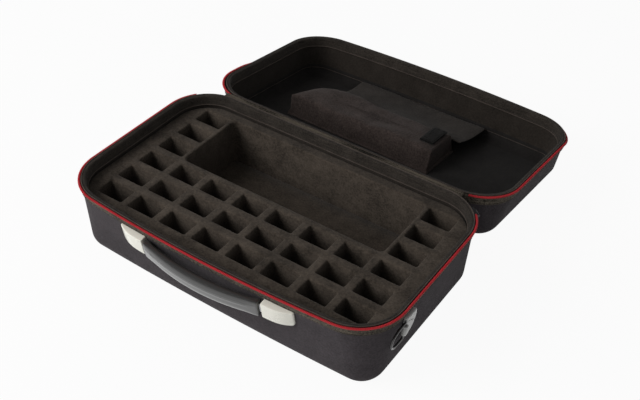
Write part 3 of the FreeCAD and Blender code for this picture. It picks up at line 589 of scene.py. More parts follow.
class Bench:
    """Small tools that turn points into finished meshes."""

    @staticmethod
    def piece(
        name: str,
        verts: Sequence[Vector],
        faces: Sequence[Sequence[int]],
        material: bpy.types.Material,
        uvs: Callable[[int], Pair] | None = None,
    ) -> bpy.types.Object:
        """Make an object from points and faces.

        Args:
            name: The piece's name.
            verts: Its points, in metres.
            faces: Its faces, as numbers of points.
            material: Its finish.
            uvs: The texture place of a point, by its number.

        Returns:
            The new object, smooth shaded.
        """
        mesh = bpy.data.meshes.new(name)
        mesh.from_pydata([tuple(v) for v in verts], [], [tuple(f) for f in faces])
        mesh.polygons.foreach_set("use_smooth", [True] * len(mesh.polygons))
        if uvs is not None:
            layer = mesh.uv_layers.new(name="surface")
            flat: list[float] = []
            for loop in mesh.loops:
                flat.extend(uvs(loop.vertex_index))
            layer.data.foreach_set("uv", flat)
        mesh.materials.append(material)
        mesh.validate()
        mesh.update()
        made = bpy.data.objects.new(name, mesh)
        bpy.context.scene.collection.objects.link(made)
        return made

    @staticmethod
    def skin(
        name: str,
        loops: Sequence[Loop],
        material: bpy.types.Material,
        ring: bool = True,
        tube: bool = False,
        caps: tuple[bool, bool] = (False, False),
    ) -> bpy.types.Object:
        """Stretch a surface over loops of points.

        Args:
            name: The piece's name.
            loops: Loops with equal counts of points.
            material: Its finish.
            ring: Whether each loop closes on itself.
            tube: Whether the last loop joins the first.
            caps: Whether the first and the last loop are filled.

        Returns:
            The new object, its texture laid out in metres.
        """
        count = len(loops[0])
        wide = count + 1 if ring else count
        verts: list[Vector] = []
        places: list[Pair] = []

        def length(loop: Loop) -> float:
            """Length of a loop, without its closing step."""
            return sum((loop[k] - loop[k - 1]).length for k in range(1, count))

        longest = max(loops, key=length)
        closed = list(longest) + [longest[0]]
        us = [0.0]
        for k in range(1, wide):
            us.append(us[-1] + (closed[k] - closed[k - 1]).length)
        v, last = 0.0, None
        probes = range(0, count, 4)
        rows = list(loops) + ([loops[0]] if tube else [])
        for loop in rows:
            if last is not None:
                v += sum((loop[k] - last[k]).length for k in probes) / len(probes)
            last = loop
            row = list(loop) + ([loop[0]] if ring else [])
            verts.extend(row)
            places.extend((u, v) for u in us)
        faces: list[list[int]] = []
        for r in range(len(rows) - 1):
            for k in range(wide - 1):
                a, b = r * wide + k, r * wide + k + 1
                faces.append([a, b, b + wide, a + wide])
        if caps[0]:
            faces.append([k for k in reversed(range(count))])
        if caps[1]:
            faces.append([(len(rows) - 1) * wide + k for k in range(count)])
        made = Bench.piece(name, verts, faces, material, lambda index: places[index])
        Bench.weld(made)
        return made

    @staticmethod
    def weld(made: bpy.types.Object, reach: float = 1e-6) -> None:
        """Join points that lie on each other, and turn all faces outward."""
        shape = bmesh.new()
        shape.from_mesh(made.data)
        bmesh.ops.remove_doubles(shape, verts=shape.verts, dist=reach)
        bmesh.ops.recalc_face_normals(shape, faces=shape.faces)
        shape.to_mesh(made.data)
        shape.free()

    @staticmethod
    def sweep(
        name: str,
        path: Sequence[Vector],
        radius: float,
        material: bpy.types.Material,
        sides: int,
        ring: bool = False,
    ) -> bpy.types.Object:
        """Run a round wire along a path.

        Args:
            name: The piece's name.
            path: The points that the wire follows.
            radius: The wire's radius.
            material: Its finish.
            sides: Points around the wire.
            ring: Whether the path closes on itself.

        Returns:
            The new object.
        """
        count = len(path)
        loops: list[Loop] = []
        lift: Vector | None = None
        for k in range(count):
            before = path[k - 1] if (k or ring) else path[k]
            after = path[(k + 1) % count] if (k + 1 < count or ring) else path[k]
            ahead = (after - before).normalized()
            if lift is None:
                lift = ahead.orthogonal()
            lift = (lift - ahead * lift.dot(ahead)).normalized()
            side = ahead.cross(lift)
            loops.append([
                path[k] + radius * (math.cos(t) * lift + math.sin(t) * side)
                for t in (2 * math.pi * s / sides for s in range(sides))
            ])
        return Bench.skin(name, loops, material, tube=ring, caps=(not ring, not ring))

    @staticmethod
    def shape(made: bpy.types.Object, place: Matrix) -> bpy.types.Object:
        """Move a piece's mesh by a matrix."""
        made.data.transform(place)
        if place.determinant() < 0:
            made.data.flip_normals()
        made.data.update()
        return made

    @staticmethod
    def join(name: str, pieces: Sequence[bpy.types.Object]) -> bpy.types.Object:
        """Make one object of several."""
        first = pieces[0]
        shape = bmesh.new()
        for one in pieces:
            shape.from_mesh(one.data)
        shape.to_mesh(first.data)
        shape.free()
        for one in pieces[1:]:
            bpy.data.objects.remove(one)
        first.name = name
        first.data.name = name
        return first

    @staticmethod
    def panel(low: Pair, high: Pair, front: float, back: float) -> list[Pair]:
        """A rectangle with round corners, anticlockwise.

        Args:
            low: Its lowest corner.
            high: Its highest corner.
            front: Radius of the two corners on the low side of its first axis.
            back: Radius of the other two.

        Returns:
            Its points, six to a corner.
        """
        room = min(high[0] - low[0], high[1] - low[1]) / 2 - 1e-6
        near, far = min(front, room), min(back, room)
        points: list[Pair] = []
        corners = (
            (high[0] - far, high[1] - far, far, 0.0),
            (low[0] + near, high[1] - near, near, 90.0),
            (low[0] + near, low[1] + near, near, 180.0),
            (high[0] - far, low[1] + far, far, 270.0),
        )
        for x, y, r, start in corners:
            for k in range(6):
                turn = math.radians(start + 18 * k)
                points.append((x + r * math.cos(turn), y + r * math.sin(turn)))
        return points

    @staticmethod
    def curve(start: Vector, bend: Vector, end: Vector, share: float) -> Vector:
        """A point on the curve from a start to an end that a third point pulls to itself."""
        return start * (1 - share) ** 2 + bend * 2 * share * (1 - share) + end * share * share

    @staticmethod
    def rounded(corners: Sequence[Pair], radius: float, gap: float) -> list[Pair]:
        """A closed polygon with round corners, as even points.

        Args:
            corners: Its corners.
            radius: How far from each corner the rounding starts.
            gap: Distance between points on its straight runs.

        Returns:
            The points.
        """
        points: list[Pair] = []
        count = len(corners)
        for k in range(count):
            here = Vector(corners[k])
            back, ahead = Vector(corners[k - 1]) - here, Vector(corners[(k + 1) % count]) - here
            start = here + back.normalized() * min(radius, back.length * 0.45)
            end = here + ahead.normalized() * min(radius, ahead.length * 0.45)
            for step in range(6):
                spot = Bench.curve(start, here, end, step / 6)
                points.append((spot.x, spot.y))
            far = Vector(corners[(k + 1) % count])
            stop = far - ahead.normalized() * min(radius, ahead.length * 0.45)
            pieces = max(1, int((stop - end).length / gap))
            for step in range(pieces):
                spot = end.lerp(stop, step / pieces)
                points.append((spot.x, spot.y))
        return points

    @staticmethod
    def along(table: Sequence[Pair], place: float) -> float:
        """A smooth value between the pairs of a table.

        Args:
            table: Pairs of a place and a value, in order.
            place: Where the value is wanted.

        Returns:
            The value there.
        """
        last = len(table) - 1
        k = max(0, min(last - 1, sum(1 for at, _ in table if at <= place) - 1))

        def slope(i: int) -> float:
            """Slope of the curve at a pair."""
            a, b = table[max(i - 1, 0)], table[min(i + 1, last)]
            return (b[1] - a[1]) / (b[0] - a[0])

        (x0, y0), (x1, y1) = table[k], table[k + 1]
        wide = x1 - x0
        t = min(1.0, max(0.0, (place - x0) / wide))
        first = (2 * t ** 3 - 3 * t ** 2 + 1) * y0 + (t ** 3 - 2 * t ** 2 + t) * wide * slope(k)
        return first + (3 * t ** 2 - 2 * t ** 3) * y1 + (t ** 3 - t ** 2) * wide * slope(k + 1)

    @staticmethod
    def ease(share: float) -> float:
        """A smooth step from 0 at 0 to 1 at 1."""
        share = min(1.0, max(0.0, share))
        return share * share * (3 - 2 * share)

    @staticmethod
    def flat_shading(made: bpy.types.Object, angle: float = 35.0) -> None:
        """Keep edges sharper than an angle crisp."""
        limit = math.radians(angle)
        shape = bmesh.new()
        shape.from_mesh(made.data)
        for edge in shape.edges:
            edge.smooth = len(edge.link_faces) != 2 or edge.calc_face_angle(0.0) < limit
        shape.to_mesh(made.data)
        shape.free()


# --- Shape of the case -----------------------------------------------------------------------


@dataclass(frozen=True)
class Plan:
    """Plan of one half: straight sides and back, a bowed front and round corners."""

    draft: float
    half_width: float = 0.189
    half_depth: float = 0.110
    rim_bow: float = 0.0104
    floor_bow: float = 0.0033
    rim_corner: float = 0.050
    floor_corner: float = 0.024
    side_steps: int = 14
    corner_steps: int = 14
    back_steps: int = 30
    front_steps: int = 40

    def outline(self, share: float, inset: float, fine: int = 1) -> list[Pair]:
        """Points of the plan, anticlockwise from the front of the right side.

        Args:
            share: How far from the floor, 0, to the rim, 1.
            inset: How far inside the outer face.
            fine: How many times finer than usual.

        Returns:
            The points; the last one isn't the first again.
        """
        shrink = self.draft * (1 - share)
        half, back = self.half_width - shrink, self.half_depth - shrink
        bow = self.floor_bow + (self.rim_bow - self.floor_bow) * share
        radius = (half ** 2 + bow ** 2) / (2 * bow)
        centre = radius - bow - back
        corner = self.floor_corner + (self.rim_corner - self.floor_corner) * share - inset
        corner = max(corner, 0.004)
        half, back, radius = half - inset, back - inset, radius - inset
        side, back_y = half - corner, back - corner
        front_y = centre - math.sqrt((radius - corner) ** 2 - side ** 2)
        meet = math.atan2(front_y - centre, side)
        points: list[Pair] = []

        def line(start: Pair, end: Pair, count: int) -> None:
            """Points of a straight run, without its end."""
            for k in range(count * fine):
                t = k / (count * fine)
                x, y = (a + (b - a) * t for a, b in zip(start, end))
                points.append((x, y))

        def arc(x: float, y: float, r: float, a: float, b: float, count: int) -> None:
            """Points of an arc, without its end."""
            for k in range(count * fine):
                t = a + (b - a) * k / (count * fine)
                points.append((x + r * math.cos(t), y + r * math.sin(t)))

        quarter, turn = math.pi / 2, math.pi
        line((half, front_y), (half, back_y), self.side_steps)
        arc(side, back_y, corner, 0, quarter, self.corner_steps)
        line((side, back), (-side, back), self.back_steps)
        arc(-side, back_y, corner, quarter, turn, self.corner_steps)
        line((-half, back_y), (-half, front_y), self.side_steps)
        arc(-side, front_y, corner, -turn, -turn - meet, self.corner_steps)
        arc(0, centre, radius, -turn - meet, meet, self.front_steps)
        arc(side, front_y, corner, meet, 0, self.corner_steps)
        return points


@dataclass(frozen=True)
class Half:
    """One moulded half: its plan, the heights of its floor and rim, and its floor's edge."""

    plan: Plan
    floor: float
    rim: float
    edge: float
    wall: float = 0.004
    outer: float = 0.0013

    def ring(self, height: float, inset: float, fine: int = 1) -> Loop:
        """A loop of the case's form at a height, moved in by an inset."""
        share = (height - self.floor) / (self.rim - self.floor)
        return [Vector((x, y, height)) for x, y in self.plan.outline(share, inset, fine)]

    @property
    def way(self) -> float:
        """1 where the rim is above the floor, else -1."""
        return 1.0 if self.rim > self.floor else -1.0

    def profile(self, points: Iterable[Pair]) -> list[Loop]:
        """Loops at pairs of an inset and a distance from the rim towards the floor."""
        return [self.ring(self.rim - self.way * down, inset) for inset, down in points]


BASE = Half(Plan(0.0086), 0.0, 0.0864, 0.018)
LID = Half(Plan(0.00815), 0.1460, 0.0937, 0.014)
AXIS = Vector((0.0, 0.11668, 0.08643))
OPEN = math.radians(187.4534)
LID_OPEN = Matrix.Translation(AXIS) @ Matrix.Rotation(-OPEN, 4, "X") @ Matrix.Translation(-AXIS)


class Body(Enum):
    """The bodies that pieces ride on."""

    CASE = "case"
    LID = "lid"
    HANDLE = "handle"
    RING_LEFT = "ring_left"
    RING_RIGHT = "ring_right"


def settle(
    made: bpy.types.Object, body: Body, nodes: Sequence[str] = (), lid: bool = False
) -> bpy.types.Object:
    """Put a finished piece on its body.

    Args:
        made: The piece.
        body: The body that it rides on.
        nodes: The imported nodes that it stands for.
        lid: Whether it was built on the closed lid and still has to be turned open.

    Returns:
        The piece.
    """
    if lid:
        Bench.shape(made, LID_OPEN)
    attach(made, body.value)
    if nodes:
        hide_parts(*nodes)
    LOG.info("%s: %d faces, on %s", made.name, len(made.data.polygons), body.value)
    return made


def dress(name: str, material: bpy.types.Material) -> None:
    """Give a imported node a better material.

    Args:
        name: The node.
        material: Its finish.
    """
    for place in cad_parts[name].material_slots:
        place.material = material
    LOG.info("%s: dressed", name)


@dataclass(frozen=True)
class Stitch:
    """One stitch of a sewn row: a short raised dash of thread."""

    gap: float = 0.0030
    half_length: float = 0.0011
    lift: float = 0.00022
    half_width: float = 0.00028
    crown: float = 0.00012
    arch: tuple[Pair, ...] = ((-1.0, 0.0), (-0.6, 0.8), (0.0, 1.0), (0.6, 0.8), (1.0, 0.0))

    def row(self, loop: Loop, way: float, thread: bpy.types.Material) -> bpy.types.Object:
        """Sew a row of stitches along a loop.

        Args:
            loop: The seam's line.
            way: 1 where the stitches stand out of the loop, -1 where they stand into it.
            thread: The finish.

        Returns:
            The row.
        """
        verts: list[Vector] = []
        faces: list[list[int]] = []
        gone, want = 0.0, 0.0
        for k in range(1, len(loop)):
            gone += (loop[k] - loop[k - 1]).length
            if gone < want:
                continue
            want = gone + self.gap
            ahead = (loop[k] - loop[k - 1]).normalized()
            out = ahead.cross(Vector((0, 0, 1))) * way
            base = len(verts)
            for share, lift in self.arch:
                spot = loop[k] + ahead * self.half_length * share + out * self.lift * lift
                for rise in (-self.half_width, 0.0, self.half_width):
                    crown = out * (self.crown if rise == 0.0 else 0.0)
                    verts.append(spot + Vector((0, 0, rise)) + crown)
            for j in range(len(self.arch) - 1):
                for i in range(2):
                    a = base + 3 * j + i
                    faces.append([a, a + 3, a + 4, a + 1])
        return Bench.piece("row", verts, faces, thread, lambda index: (0.0, 0.0))


@dataclass
class Shell:
    """A moulded half shell with its zipper tape, coil, binding and stitches.

    Sections are pairs of an inset from the outer face and a depth below the rim. The lid's tape
    hangs away from its rim on the left and along the far wall, and flares at the near left corner.
    Where it does is a pair: the place where that starts, and the length over which it grows.
    """

    name: str
    half: Half
    body: Body
    coil_short: float
    finishes: Finishes
    lip: float = 0.0012
    lip_round: tuple[Pair, ...] = ((0.0005, 0.0003), (0.0014, 0.0))
    bottom_rows: int = 17
    tape_width: float = 0.0084
    tape_edge: float = 0.0016
    tape_step: float = 0.00035
    tape_face: float = 0.00025
    tape_back: float = 0.0011
    tape_rib: Pair = (0.00012, 0.0014)
    coil_radius: float = 0.00108
    coil_rise: float = 0.00185
    coil_out: float = 0.0005
    wire: float = 0.00042
    pitch: float = 0.0015
    hang: float = 0.0024
    hang_left: Pair = (0.042, 0.030)
    hang_far: Pair = (-0.060, 0.035)
    flare: float = 0.0014
    flare_left: Pair = (-0.12, 0.04)
    flare_near: Pair = (0.02, 0.03)
    loosening: Pair = (0.006, 0.0076)
    welt: tuple[Pair, ...] = (
        (0.0012, -0.0014), (0.0012, 0.0022), (0.00125, 0.0027), (0.0015, 0.0031),
        (0.0019, 0.00325), (0.0023, 0.0031), (0.0025, 0.00285), (0.0027, 0.00275),
        (0.0030, 0.00285), (0.0042, 0.0028), (0.0052, 0.0026), (0.0059, 0.0022),
        (0.0062, 0.0016),
    )
    binding_face: float = 0.0063
    binding_run: Pair = (-0.0006, 0.0076)
    binding_rib: Pair = (0.00012, 0.00136)
    hem: tuple[Pair, ...] = (
        (0.0068, 0.0072), (0.0071, 0.0076), (0.0070, 0.0082), (0.0065, 0.0086),
        (0.0059, 0.0084), (0.0054, 0.0080), (0.0052, -0.0001), (0.0014, -0.0001),
    )
    seams: tuple[tuple[float, float, int], ...] = ((0.00002, 0.0068, 1), (0.00635, 0.0052, -1))
    cord_lines: tuple[tuple[str, float, float, float], ...] = (
        ("welt", 0.0019, -0.0029, 0.0006), ("edge", 0.0070, 0.0079, 0.00045),
    )
    panel_seam: float = 0.0003

    @property
    def on_lid(self) -> bool:
        """Whether this half is the lid."""
        return self.body is Body.LID

    def outer_face(self) -> list[Loop]:
        """Loops of the outer face, from the middle of the floor to below the rim."""
        half, up = self.half, self.half.way
        depth = abs(half.rim - half.floor)
        loops = [half.ring(half.floor, half.outer + inset) for inset in (0.088, 0.06, 0.03)]
        for k in range(13):
            turn = math.pi / 2 * k / 12
            rise, inset = half.edge * (1 - math.cos(turn)), half.edge * (1 - math.sin(turn))
            loops.append(half.ring(half.floor + up * rise, half.outer + inset))
        for k in range(1, 9):
            rise = half.edge + (depth - self.lip - half.edge) * k / 8
            loops.append(half.ring(half.floor + up * rise, half.outer))
        return loops

    def inner_face(self) -> list[Loop]:
        """Loops of the inner face, from below the rim to the middle of the floor."""
        half, up = self.half, self.half.way
        depth = abs(half.rim - half.floor)
        face, corner = half.outer + half.wall, half.edge - half.wall
        loops: list[Loop] = []
        for k in range(9):
            rise = depth - self.lip - (depth - self.lip - half.wall - corner) * k / 8
            loops.append(half.ring(half.floor + up * rise, face))
        for k in range(11, -1, -1):
            turn = math.pi / 2 * k / 12
            rise, inset = half.wall + corner * (1 - math.cos(turn)), corner * (1 - math.sin(turn))
            loops.append(half.ring(half.floor + up * rise, face + inset))
        bottom = half.floor + up * half.wall
        return loops + [half.ring(bottom, face + inset) for inset in (0.03, 0.06, 0.084)]

    def shell(self) -> bpy.types.Object:
        """The shell itself: even wall, rounded rim and floor edge, cloth on both faces."""
        half, up = self.half, self.half.way
        outside = self.outer_face()
        loops = list(outside)
        for inset, drop in self.lip_round:
            loops.append(half.ring(half.rim - up * drop, half.outer + inset))
        for inset, drop in reversed(self.lip_round):
            loops.append(half.ring(half.rim - up * drop, half.outer + half.wall - inset))
        loops += self.inner_face()
        made = Bench.skin(
            self.name + "_cloth_shell", loops, self.finishes.shell, caps=(True, True)
        )
        made.data.materials.append(self.finishes.lining)
        made.data.materials.append(self.finishes.bottom)
        count = len(loops[0])
        lining, bottom, sides = (
            rows * count for rows in (len(outside), len(loops) - self.bottom_rows, len(loops) - 1)
        )
        last = len(made.data.polygons) - 1
        for face in made.data.polygons:
            if face.index == last or bottom <= face.index < sides:
                face.material_index = 2
            elif lining <= face.index < sides:
                face.material_index = 1
        return settle(made, self.body, [self.name + "_shell"], self.on_lid)

    def sag(self, point: Vector) -> float:
        """How far the lid's free zipper tape hangs away from its rim at a point."""
        if not self.on_lid:
            return 0.0
        left = Bench.ease((self.hang_left[0] - point.y) / self.hang_left[1])
        far = Bench.ease((self.hang_far[0] - point.y) / self.hang_far[1])
        return self.hang * max(left if point.x < 0 else 0.0, far)

    def bulge(self, point: Vector) -> float:
        """The share of its flare that the lid's free zipper tape takes at a point."""
        if not self.on_lid:
            return 0.0
        left = Bench.ease((self.flare_left[0] - point.x) / self.flare_left[1])
        return left * Bench.ease((point.y - self.flare_near[0]) / self.flare_near[1])

    def loosen(self, loops: Sequence[Loop], profile: Sequence[Pair]) -> None:
        """Let the free edge of the tape hang and flare.

        Args:
            loops: The tape's loops, which are moved.
            profile: Their insets and depths.
        """
        for loop, (_, down) in zip(loops, profile):
            share = Bench.ease((self.loosening[0] - down) / self.loosening[1])
            outer = self.half.ring(loop[0].z, -self.flare)
            inner = self.half.ring(loop[0].z, 0.0)
            for point, far, near in zip(loop, outer, inner):
                out = (far - near) * self.bulge(point) * share
                point += out - Vector((0, 0, self.half.way * self.sag(point) * share))

    def tape(self) -> bpy.types.Object:
        """The zipper tape: ribs along it, its free edge up under the coil."""
        height, pitch = self.tape_rib
        profile: list[Pair] = []
        run = self.tape_width + self.tape_edge
        count = int(run / self.tape_step)
        for k in range(count + 1):
            down = -self.tape_edge + run * k / count
            rib = height * abs(math.sin(math.pi * down / pitch))
            edge = 0.0004 if k in (0, count) else 0.0
            profile.append((self.tape_face - rib + edge, down))
        profile += [(self.tape_back, self.tape_width), (self.tape_back, -self.tape_edge)]
        loops = self.half.profile(profile)
        self.loosen(loops, profile)
        made = Bench.skin(self.name + "_tape", loops, self.finishes.tape, tube=True)
        return settle(made, self.body, [self.name + "_zip_tape"], self.on_lid)

    def binding(self) -> bpy.types.Object:
        """The binding: a tape folded over the shell's raw edge, its welt sewn in a groove."""
        height, pitch = self.binding_rib
        start, run = self.binding_run
        profile = [(inset, -rise) for inset, rise in self.welt]
        for k in range(21):
            down = start + run * k / 20
            rib = height * abs(math.sin(math.pi * down / pitch))
            profile.append((self.binding_face + rib, down))
        profile += self.hem
        loops = self.half.profile(profile)
        made = Bench.skin(self.name + "_rim_binding", loops, self.finishes.binding, tube=True)
        return settle(made, self.body, [self.name + "_binding"], self.on_lid)

    def coil_line(self) -> Loop:
        """The line of the zipper coil: round the front, open at the hinge."""
        fine = 6
        plan = self.half.plan
        height = self.half.rim + self.half.way * self.coil_rise
        loop = self.half.ring(height, -self.coil_out, fine)
        for point, far in zip(loop, self.half.ring(height, -self.coil_out - self.flare, fine)):
            point.xy = point.xy.lerp(far.xy, self.bulge(point))
            point.z -= self.half.way * self.sag(point)
        end = plan.half_width - self.coil_short
        right = plan.side_steps * fine
        left = (plan.side_steps + plan.corner_steps + plan.back_steps) * fine
        start = next(k for k, p in enumerate(loop) if p.y > 0 and p.x < end and k > right)
        stop = next(k for k, p in enumerate(loop) if p.y > 0 and p.x < -end and k > left)
        return loop[stop:] + loop[: start + 1]

    def coil(self) -> bpy.types.Object:
        """The coil: one long helix of nylon on its line."""
        line = self.coil_line()
        lengths = [0.0]
        for k in range(1, len(line)):
            lengths.append(lengths[-1] + (line[k] - line[k - 1]).length)
        total, sides, per_turn = lengths[-1], 5, 9
        steps = int(total / self.pitch * per_turn)
        girth = 2 * math.pi * self.coil_radius
        loops: list[Loop] = []
        at, up = 0, Vector((0, 0, self.half.way))
        for s in range(steps + 1):
            along = total * s / steps
            while at < len(line) - 2 and lengths[at + 1] < along:
                at += 1
            run = max(lengths[at + 1] - lengths[at], 1e-9)
            centre = line[at].lerp(line[at + 1], (along - lengths[at]) / run)
            ahead = (line[at + 1] - line[at]).normalized()
            out = ahead.cross(up).normalized()
            turn = 2 * math.pi * along / self.pitch
            spoke = math.cos(turn) * out + math.sin(turn) * up * 0.85
            around = -math.sin(turn) * out + math.cos(turn) * up
            heading = (ahead * self.pitch / girth + around).normalized()
            side = heading.cross(spoke).normalized()
            centre = centre + self.coil_radius * spoke
            loops.append([
                centre + self.wire * (math.cos(a) * spoke + math.sin(a) * side * 1.35)
                for a in (2 * math.pi * q / sides for q in range(sides))
            ])
        made = Bench.skin(self.name + "_coil", loops, self.finishes.coil, caps=(True, True))
        return settle(made, self.body, [self.name + "_zip_coil"], self.on_lid)

    def coil_core(self) -> bpy.types.Object:
        """The cord inside the coil, which the turns are sewn round."""
        line = self.coil_line()[::3]
        radius = self.coil_radius * 0.95
        made = Bench.sweep(self.name + "_coil_cord", line, radius, self.finishes.coil, 8)
        return settle(made, self.body, (), self.on_lid)

    def stitches(self) -> bpy.types.Object:
        """Two rows of stitches that hold the tape and the binding."""
        rows: list[bpy.types.Object] = []
        for inset, down, way in self.seams:
            loop = self.half.ring(self.half.rim - self.half.way * down, inset, 5)
            rows.append(Stitch().row(loop + [loop[0]], way, self.finishes.thread))
        joined = Bench.join(self.name + "_stitches", rows)
        return settle(joined, self.body, (), self.on_lid)

    def cords(self) -> None:
        """The fine cords on the binding: one along its welt, one along its sewn lower edge."""
        for label, inset, down, radius in self.cord_lines:
            loop = self.half.ring(self.half.rim - self.half.way * down, inset, 2)
            name = self.name + "_binding_" + label
            made = Bench.sweep(name, loop, radius, self.finishes.seam, 8, ring=True)
            settle(made, self.body, (), self.on_lid)

    def panel_edge(self) -> None:
        """The sewn edge of the panel that covers the lid's bottom."""
        half = self.half
        height = half.floor + half.way * (half.edge + 0.0004)
        loop = half.ring(height, half.outer + half.wall + self.panel_seam, 2)
        made = Bench.sweep(
            "lid_panel_edge", loop, self.panel_seam, self.finishes.seam, 8, ring=True
        )
        settle(made, self.body, (), True)

    def build(self) -> None:
        """Make the whole half."""
        self.shell()
        if self.on_lid:
            self.panel_edge()
        self.tape()
        self.binding()
        self.cords()
        self.coil()
        self.coil_core()
        self.stitches()


@dataclass
class FoamInsert:
    """The slotted foam block and the floor pad under it.

    The lips are pairs: how far a loop lies outside the wall of its opening, or inside the block's
    own wall, and how far it lies below the top.
    """

    finishes: Finishes
    top: float = 0.0742
    low: float = 0.0187
    inset: float = 0.0056
    slot_width: float = 0.0323
    slot_depth: float = 0.0209
    pitch_x: float = 0.0417
    pitch_y: float = 0.03156
    rows: int = 6
    full_rows: int = 3
    columns: int = 8
    bay: Box = (-0.125, 0.003, 0.125, 0.091)
    bay_corner: float = 0.006
    slot_corner: float = 0.0015
    edge_lip: tuple[Pair, ...] = (
        (0.0020, 0.0), (0.0012, 0.0002), (0.0004, 0.0008), (0.0, 0.0018), (0.0, 0.02),
    )
    slot_lip: tuple[Pair, ...] = (
        (0.0016, 0.0), (0.0009, 0.0002), (0.0003, 0.0007), (0.0, 0.0016), (0.0, 0.012),
    )

    def cuts(self) -> list[tuple[Box, float]]:
        """Left, front, right and back of every opening, and the radius of its corners."""
        found = [(self.bay, self.bay_corner)]
        middle_row, middle_column = (self.rows - 1) / 2, (self.columns - 1) / 2
        for row in range(self.rows):
            front = (row - middle_row) * self.pitch_y - self.slot_depth / 2
            for column in range(self.columns):
                if row >= self.full_rows and column not in (0, self.columns - 1):
                    continue
                left = (column - middle_column) * self.pitch_x - self.slot_width / 2
                box = (left, front, left + self.slot_width, front + self.slot_depth)
                found.append((box, self.slot_corner))
        return found

    @staticmethod
    def rounded(box: Box, grow: float, corner: float, height: float) -> Loop:
        """A rounded rectangle, grown by a distance."""
        left, front, right, back = box[0] - grow, box[1] - grow, box[2] + grow, box[3] + grow
        corner = corner + grow
        centres = (
            (right - corner, back - corner, 0.0),
            (left + corner, back - corner, 90.0),
            (left + corner, front + corner, 180.0),
            (right - corner, front + corner, 270.0),
        )
        points: Loop = []
        for x, y, start in centres:
            for k in range(6):
                turn = math.radians(start + 90 * k / 5)
                across, along = corner * math.cos(turn), corner * math.sin(turn)
                points.append(Vector((x + across, y + along, height)))
        return points

    def insert(self) -> bpy.types.Object:
        """The cut block: soft rounded lips round every opening and along its edge."""
        verts: list[Vector] = []
        faces: list[list[int]] = []

        def strip(loops: Sequence[Loop]) -> None:
            """Join loops one below the other."""
            start, count = len(verts), len(loops[0])
            for loop in loops:
                verts.extend(loop)
            for r in range(len(loops) - 1):
                for k in range(count):
                    a, b = start + r * count + k, start + r * count + (k + 1) % count
                    faces.append([a, b, b + count, a + count])

        top, foot = self.top, (0.0, self.top - self.low)
        edge = (*self.edge_lip, foot)
        outer = [BASE.ring(top - down, self.inset + inset) for inset, down in edge]
        polygons: list[Loop] = [outer[0]]
        strip(outer)
        for box, corner in self.cuts():
            lip = (*self.slot_lip, foot)
            loops = [self.rounded(box, grow, corner, top - down) for grow, down in lip]
            polygons.append(loops[0])
            strip(loops)
        start = len(verts)
        verts.extend(point for polygon in polygons for point in polygon)
        faces.extend([start + a for a in triangle] for triangle in tessellate_polygon(polygons))
        made = Bench.piece("foam_insert", verts, faces, self.finishes.foam)
        Bench.weld(made, 1e-5)
        Bench.flat_shading(made, 50)
        nodes = [
            "foam_row_front", "foam_row_middle", "foam_row_back", "foam_cross_rail",
            "foam_back_rail", "foam_left_block", "foam_right_block",
        ]
        return settle(made, Body.CASE, nodes)

    def floor_pad(self) -> bpy.types.Object:
        """The soft pad on the shell's floor, seen at the bottom of every opening."""
        low = self.low
        section = (
            (0.0043, 0.030), (0.0043, 0.0150), (0.0080, 0.0090), (0.0140, 0.0066),
            (low - 0.001, 0.0057), (low - 0.0002, 0.0062), (low - 0.0001, 0.030),
            (low - 0.0001, 0.075),
        )
        loops = [BASE.ring(height, inset) for height, inset in section]
        made = Bench.skin("foam_floor_pad", loops, self.finishes.foam, caps=(True, True))
        return settle(made, Body.CASE, ["foam_pad_floor"])

    def build(self) -> None:
        """Make both pieces."""
        self.insert()
        self.floor_pad()


@dataclass
class Hinge:
    """The webbing that joins the two rims, bent to the lid's open pose."""

    finishes: Finishes
    half: float = 0.153
    thick: float = 0.0008
    rib: Pair = (0.0003, 0.0026)
    columns: int = 60
    steps: int = 8
    on_base: tuple[Pair, ...] = (
        (0.1045, 0.0871), (0.1080, 0.0871), (0.1115, 0.0871), (0.1145, 0.0869),
    )
    on_lid: tuple[Pair, ...] = (
        (0.1145, 0.0932), (0.1115, 0.0930), (0.1080, 0.0930), (0.1045, 0.0930),
    )

    def line(self) -> list[Vector]:
        """The webbing's middle line from the base's rim to the lid's, in the open pose."""
        base = [Vector((0, y, z)) for y, z in self.on_base]
        lid = [LID_OPEN @ Vector((0, y, z)) for y, z in self.on_lid]
        return base + [Vector((0, AXIS.y + 0.0002, AXIS.z - 0.0002))] + lid

    def smooth_line(self) -> list[Vector]:
        """The middle line as a smooth curve through its points."""
        points = self.line()
        last = len(points) - 1
        fine: list[Vector] = []
        for k in range(last):
            a, b, c, d = (points[min(max(k + j, 0), last)] for j in (-1, 0, 1, 2))
            for step in range(self.steps):
                t = step / self.steps
                square, cube = 2 * a - 5 * b + 4 * c - d, 3 * b - a - 3 * c + d
                fine.append(0.5 * ((2 * b) + (c - a) * t + square * t * t + cube * t ** 3))
        return fine + [points[-1]]

    def build(self) -> None:
        """Make the webbing, ribbed along its length."""
        fine = self.smooth_line()
        height, pitch = self.rib
        upper: list[Vector] = []
        lower: list[Vector] = []
        gone = 0.0
        for k, point in enumerate(fine):
            ahead = (fine[min(k + 1, len(fine) - 1)] - fine[max(k - 1, 0)]).normalized()
            lift = Vector((0, -ahead.z, ahead.y))
            gone += (point - fine[k - 1]).length if k else 0.0
            rib = height * math.sin(2 * math.pi * gone / pitch)
            upper.append(point + lift * (self.thick / 2 + rib))
            lower.append(point - lift * (self.thick / 2))
        xs = [-self.half + 2 * self.half * c / self.columns for c in range(self.columns + 1)]
        loops = [[Vector((x, p.y, p.z)) for x in xs] for p in upper + lower[::-1]]
        made = Bench.skin("hinge_webbing", loops, self.finishes.hinge, ring=False, tube=True)
        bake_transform(made)
        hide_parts("hinge_tape_base", "hinge_tape_lid")
        LOG.info("%s: %d faces, between case and lid", made.name, len(made.data.polygons))


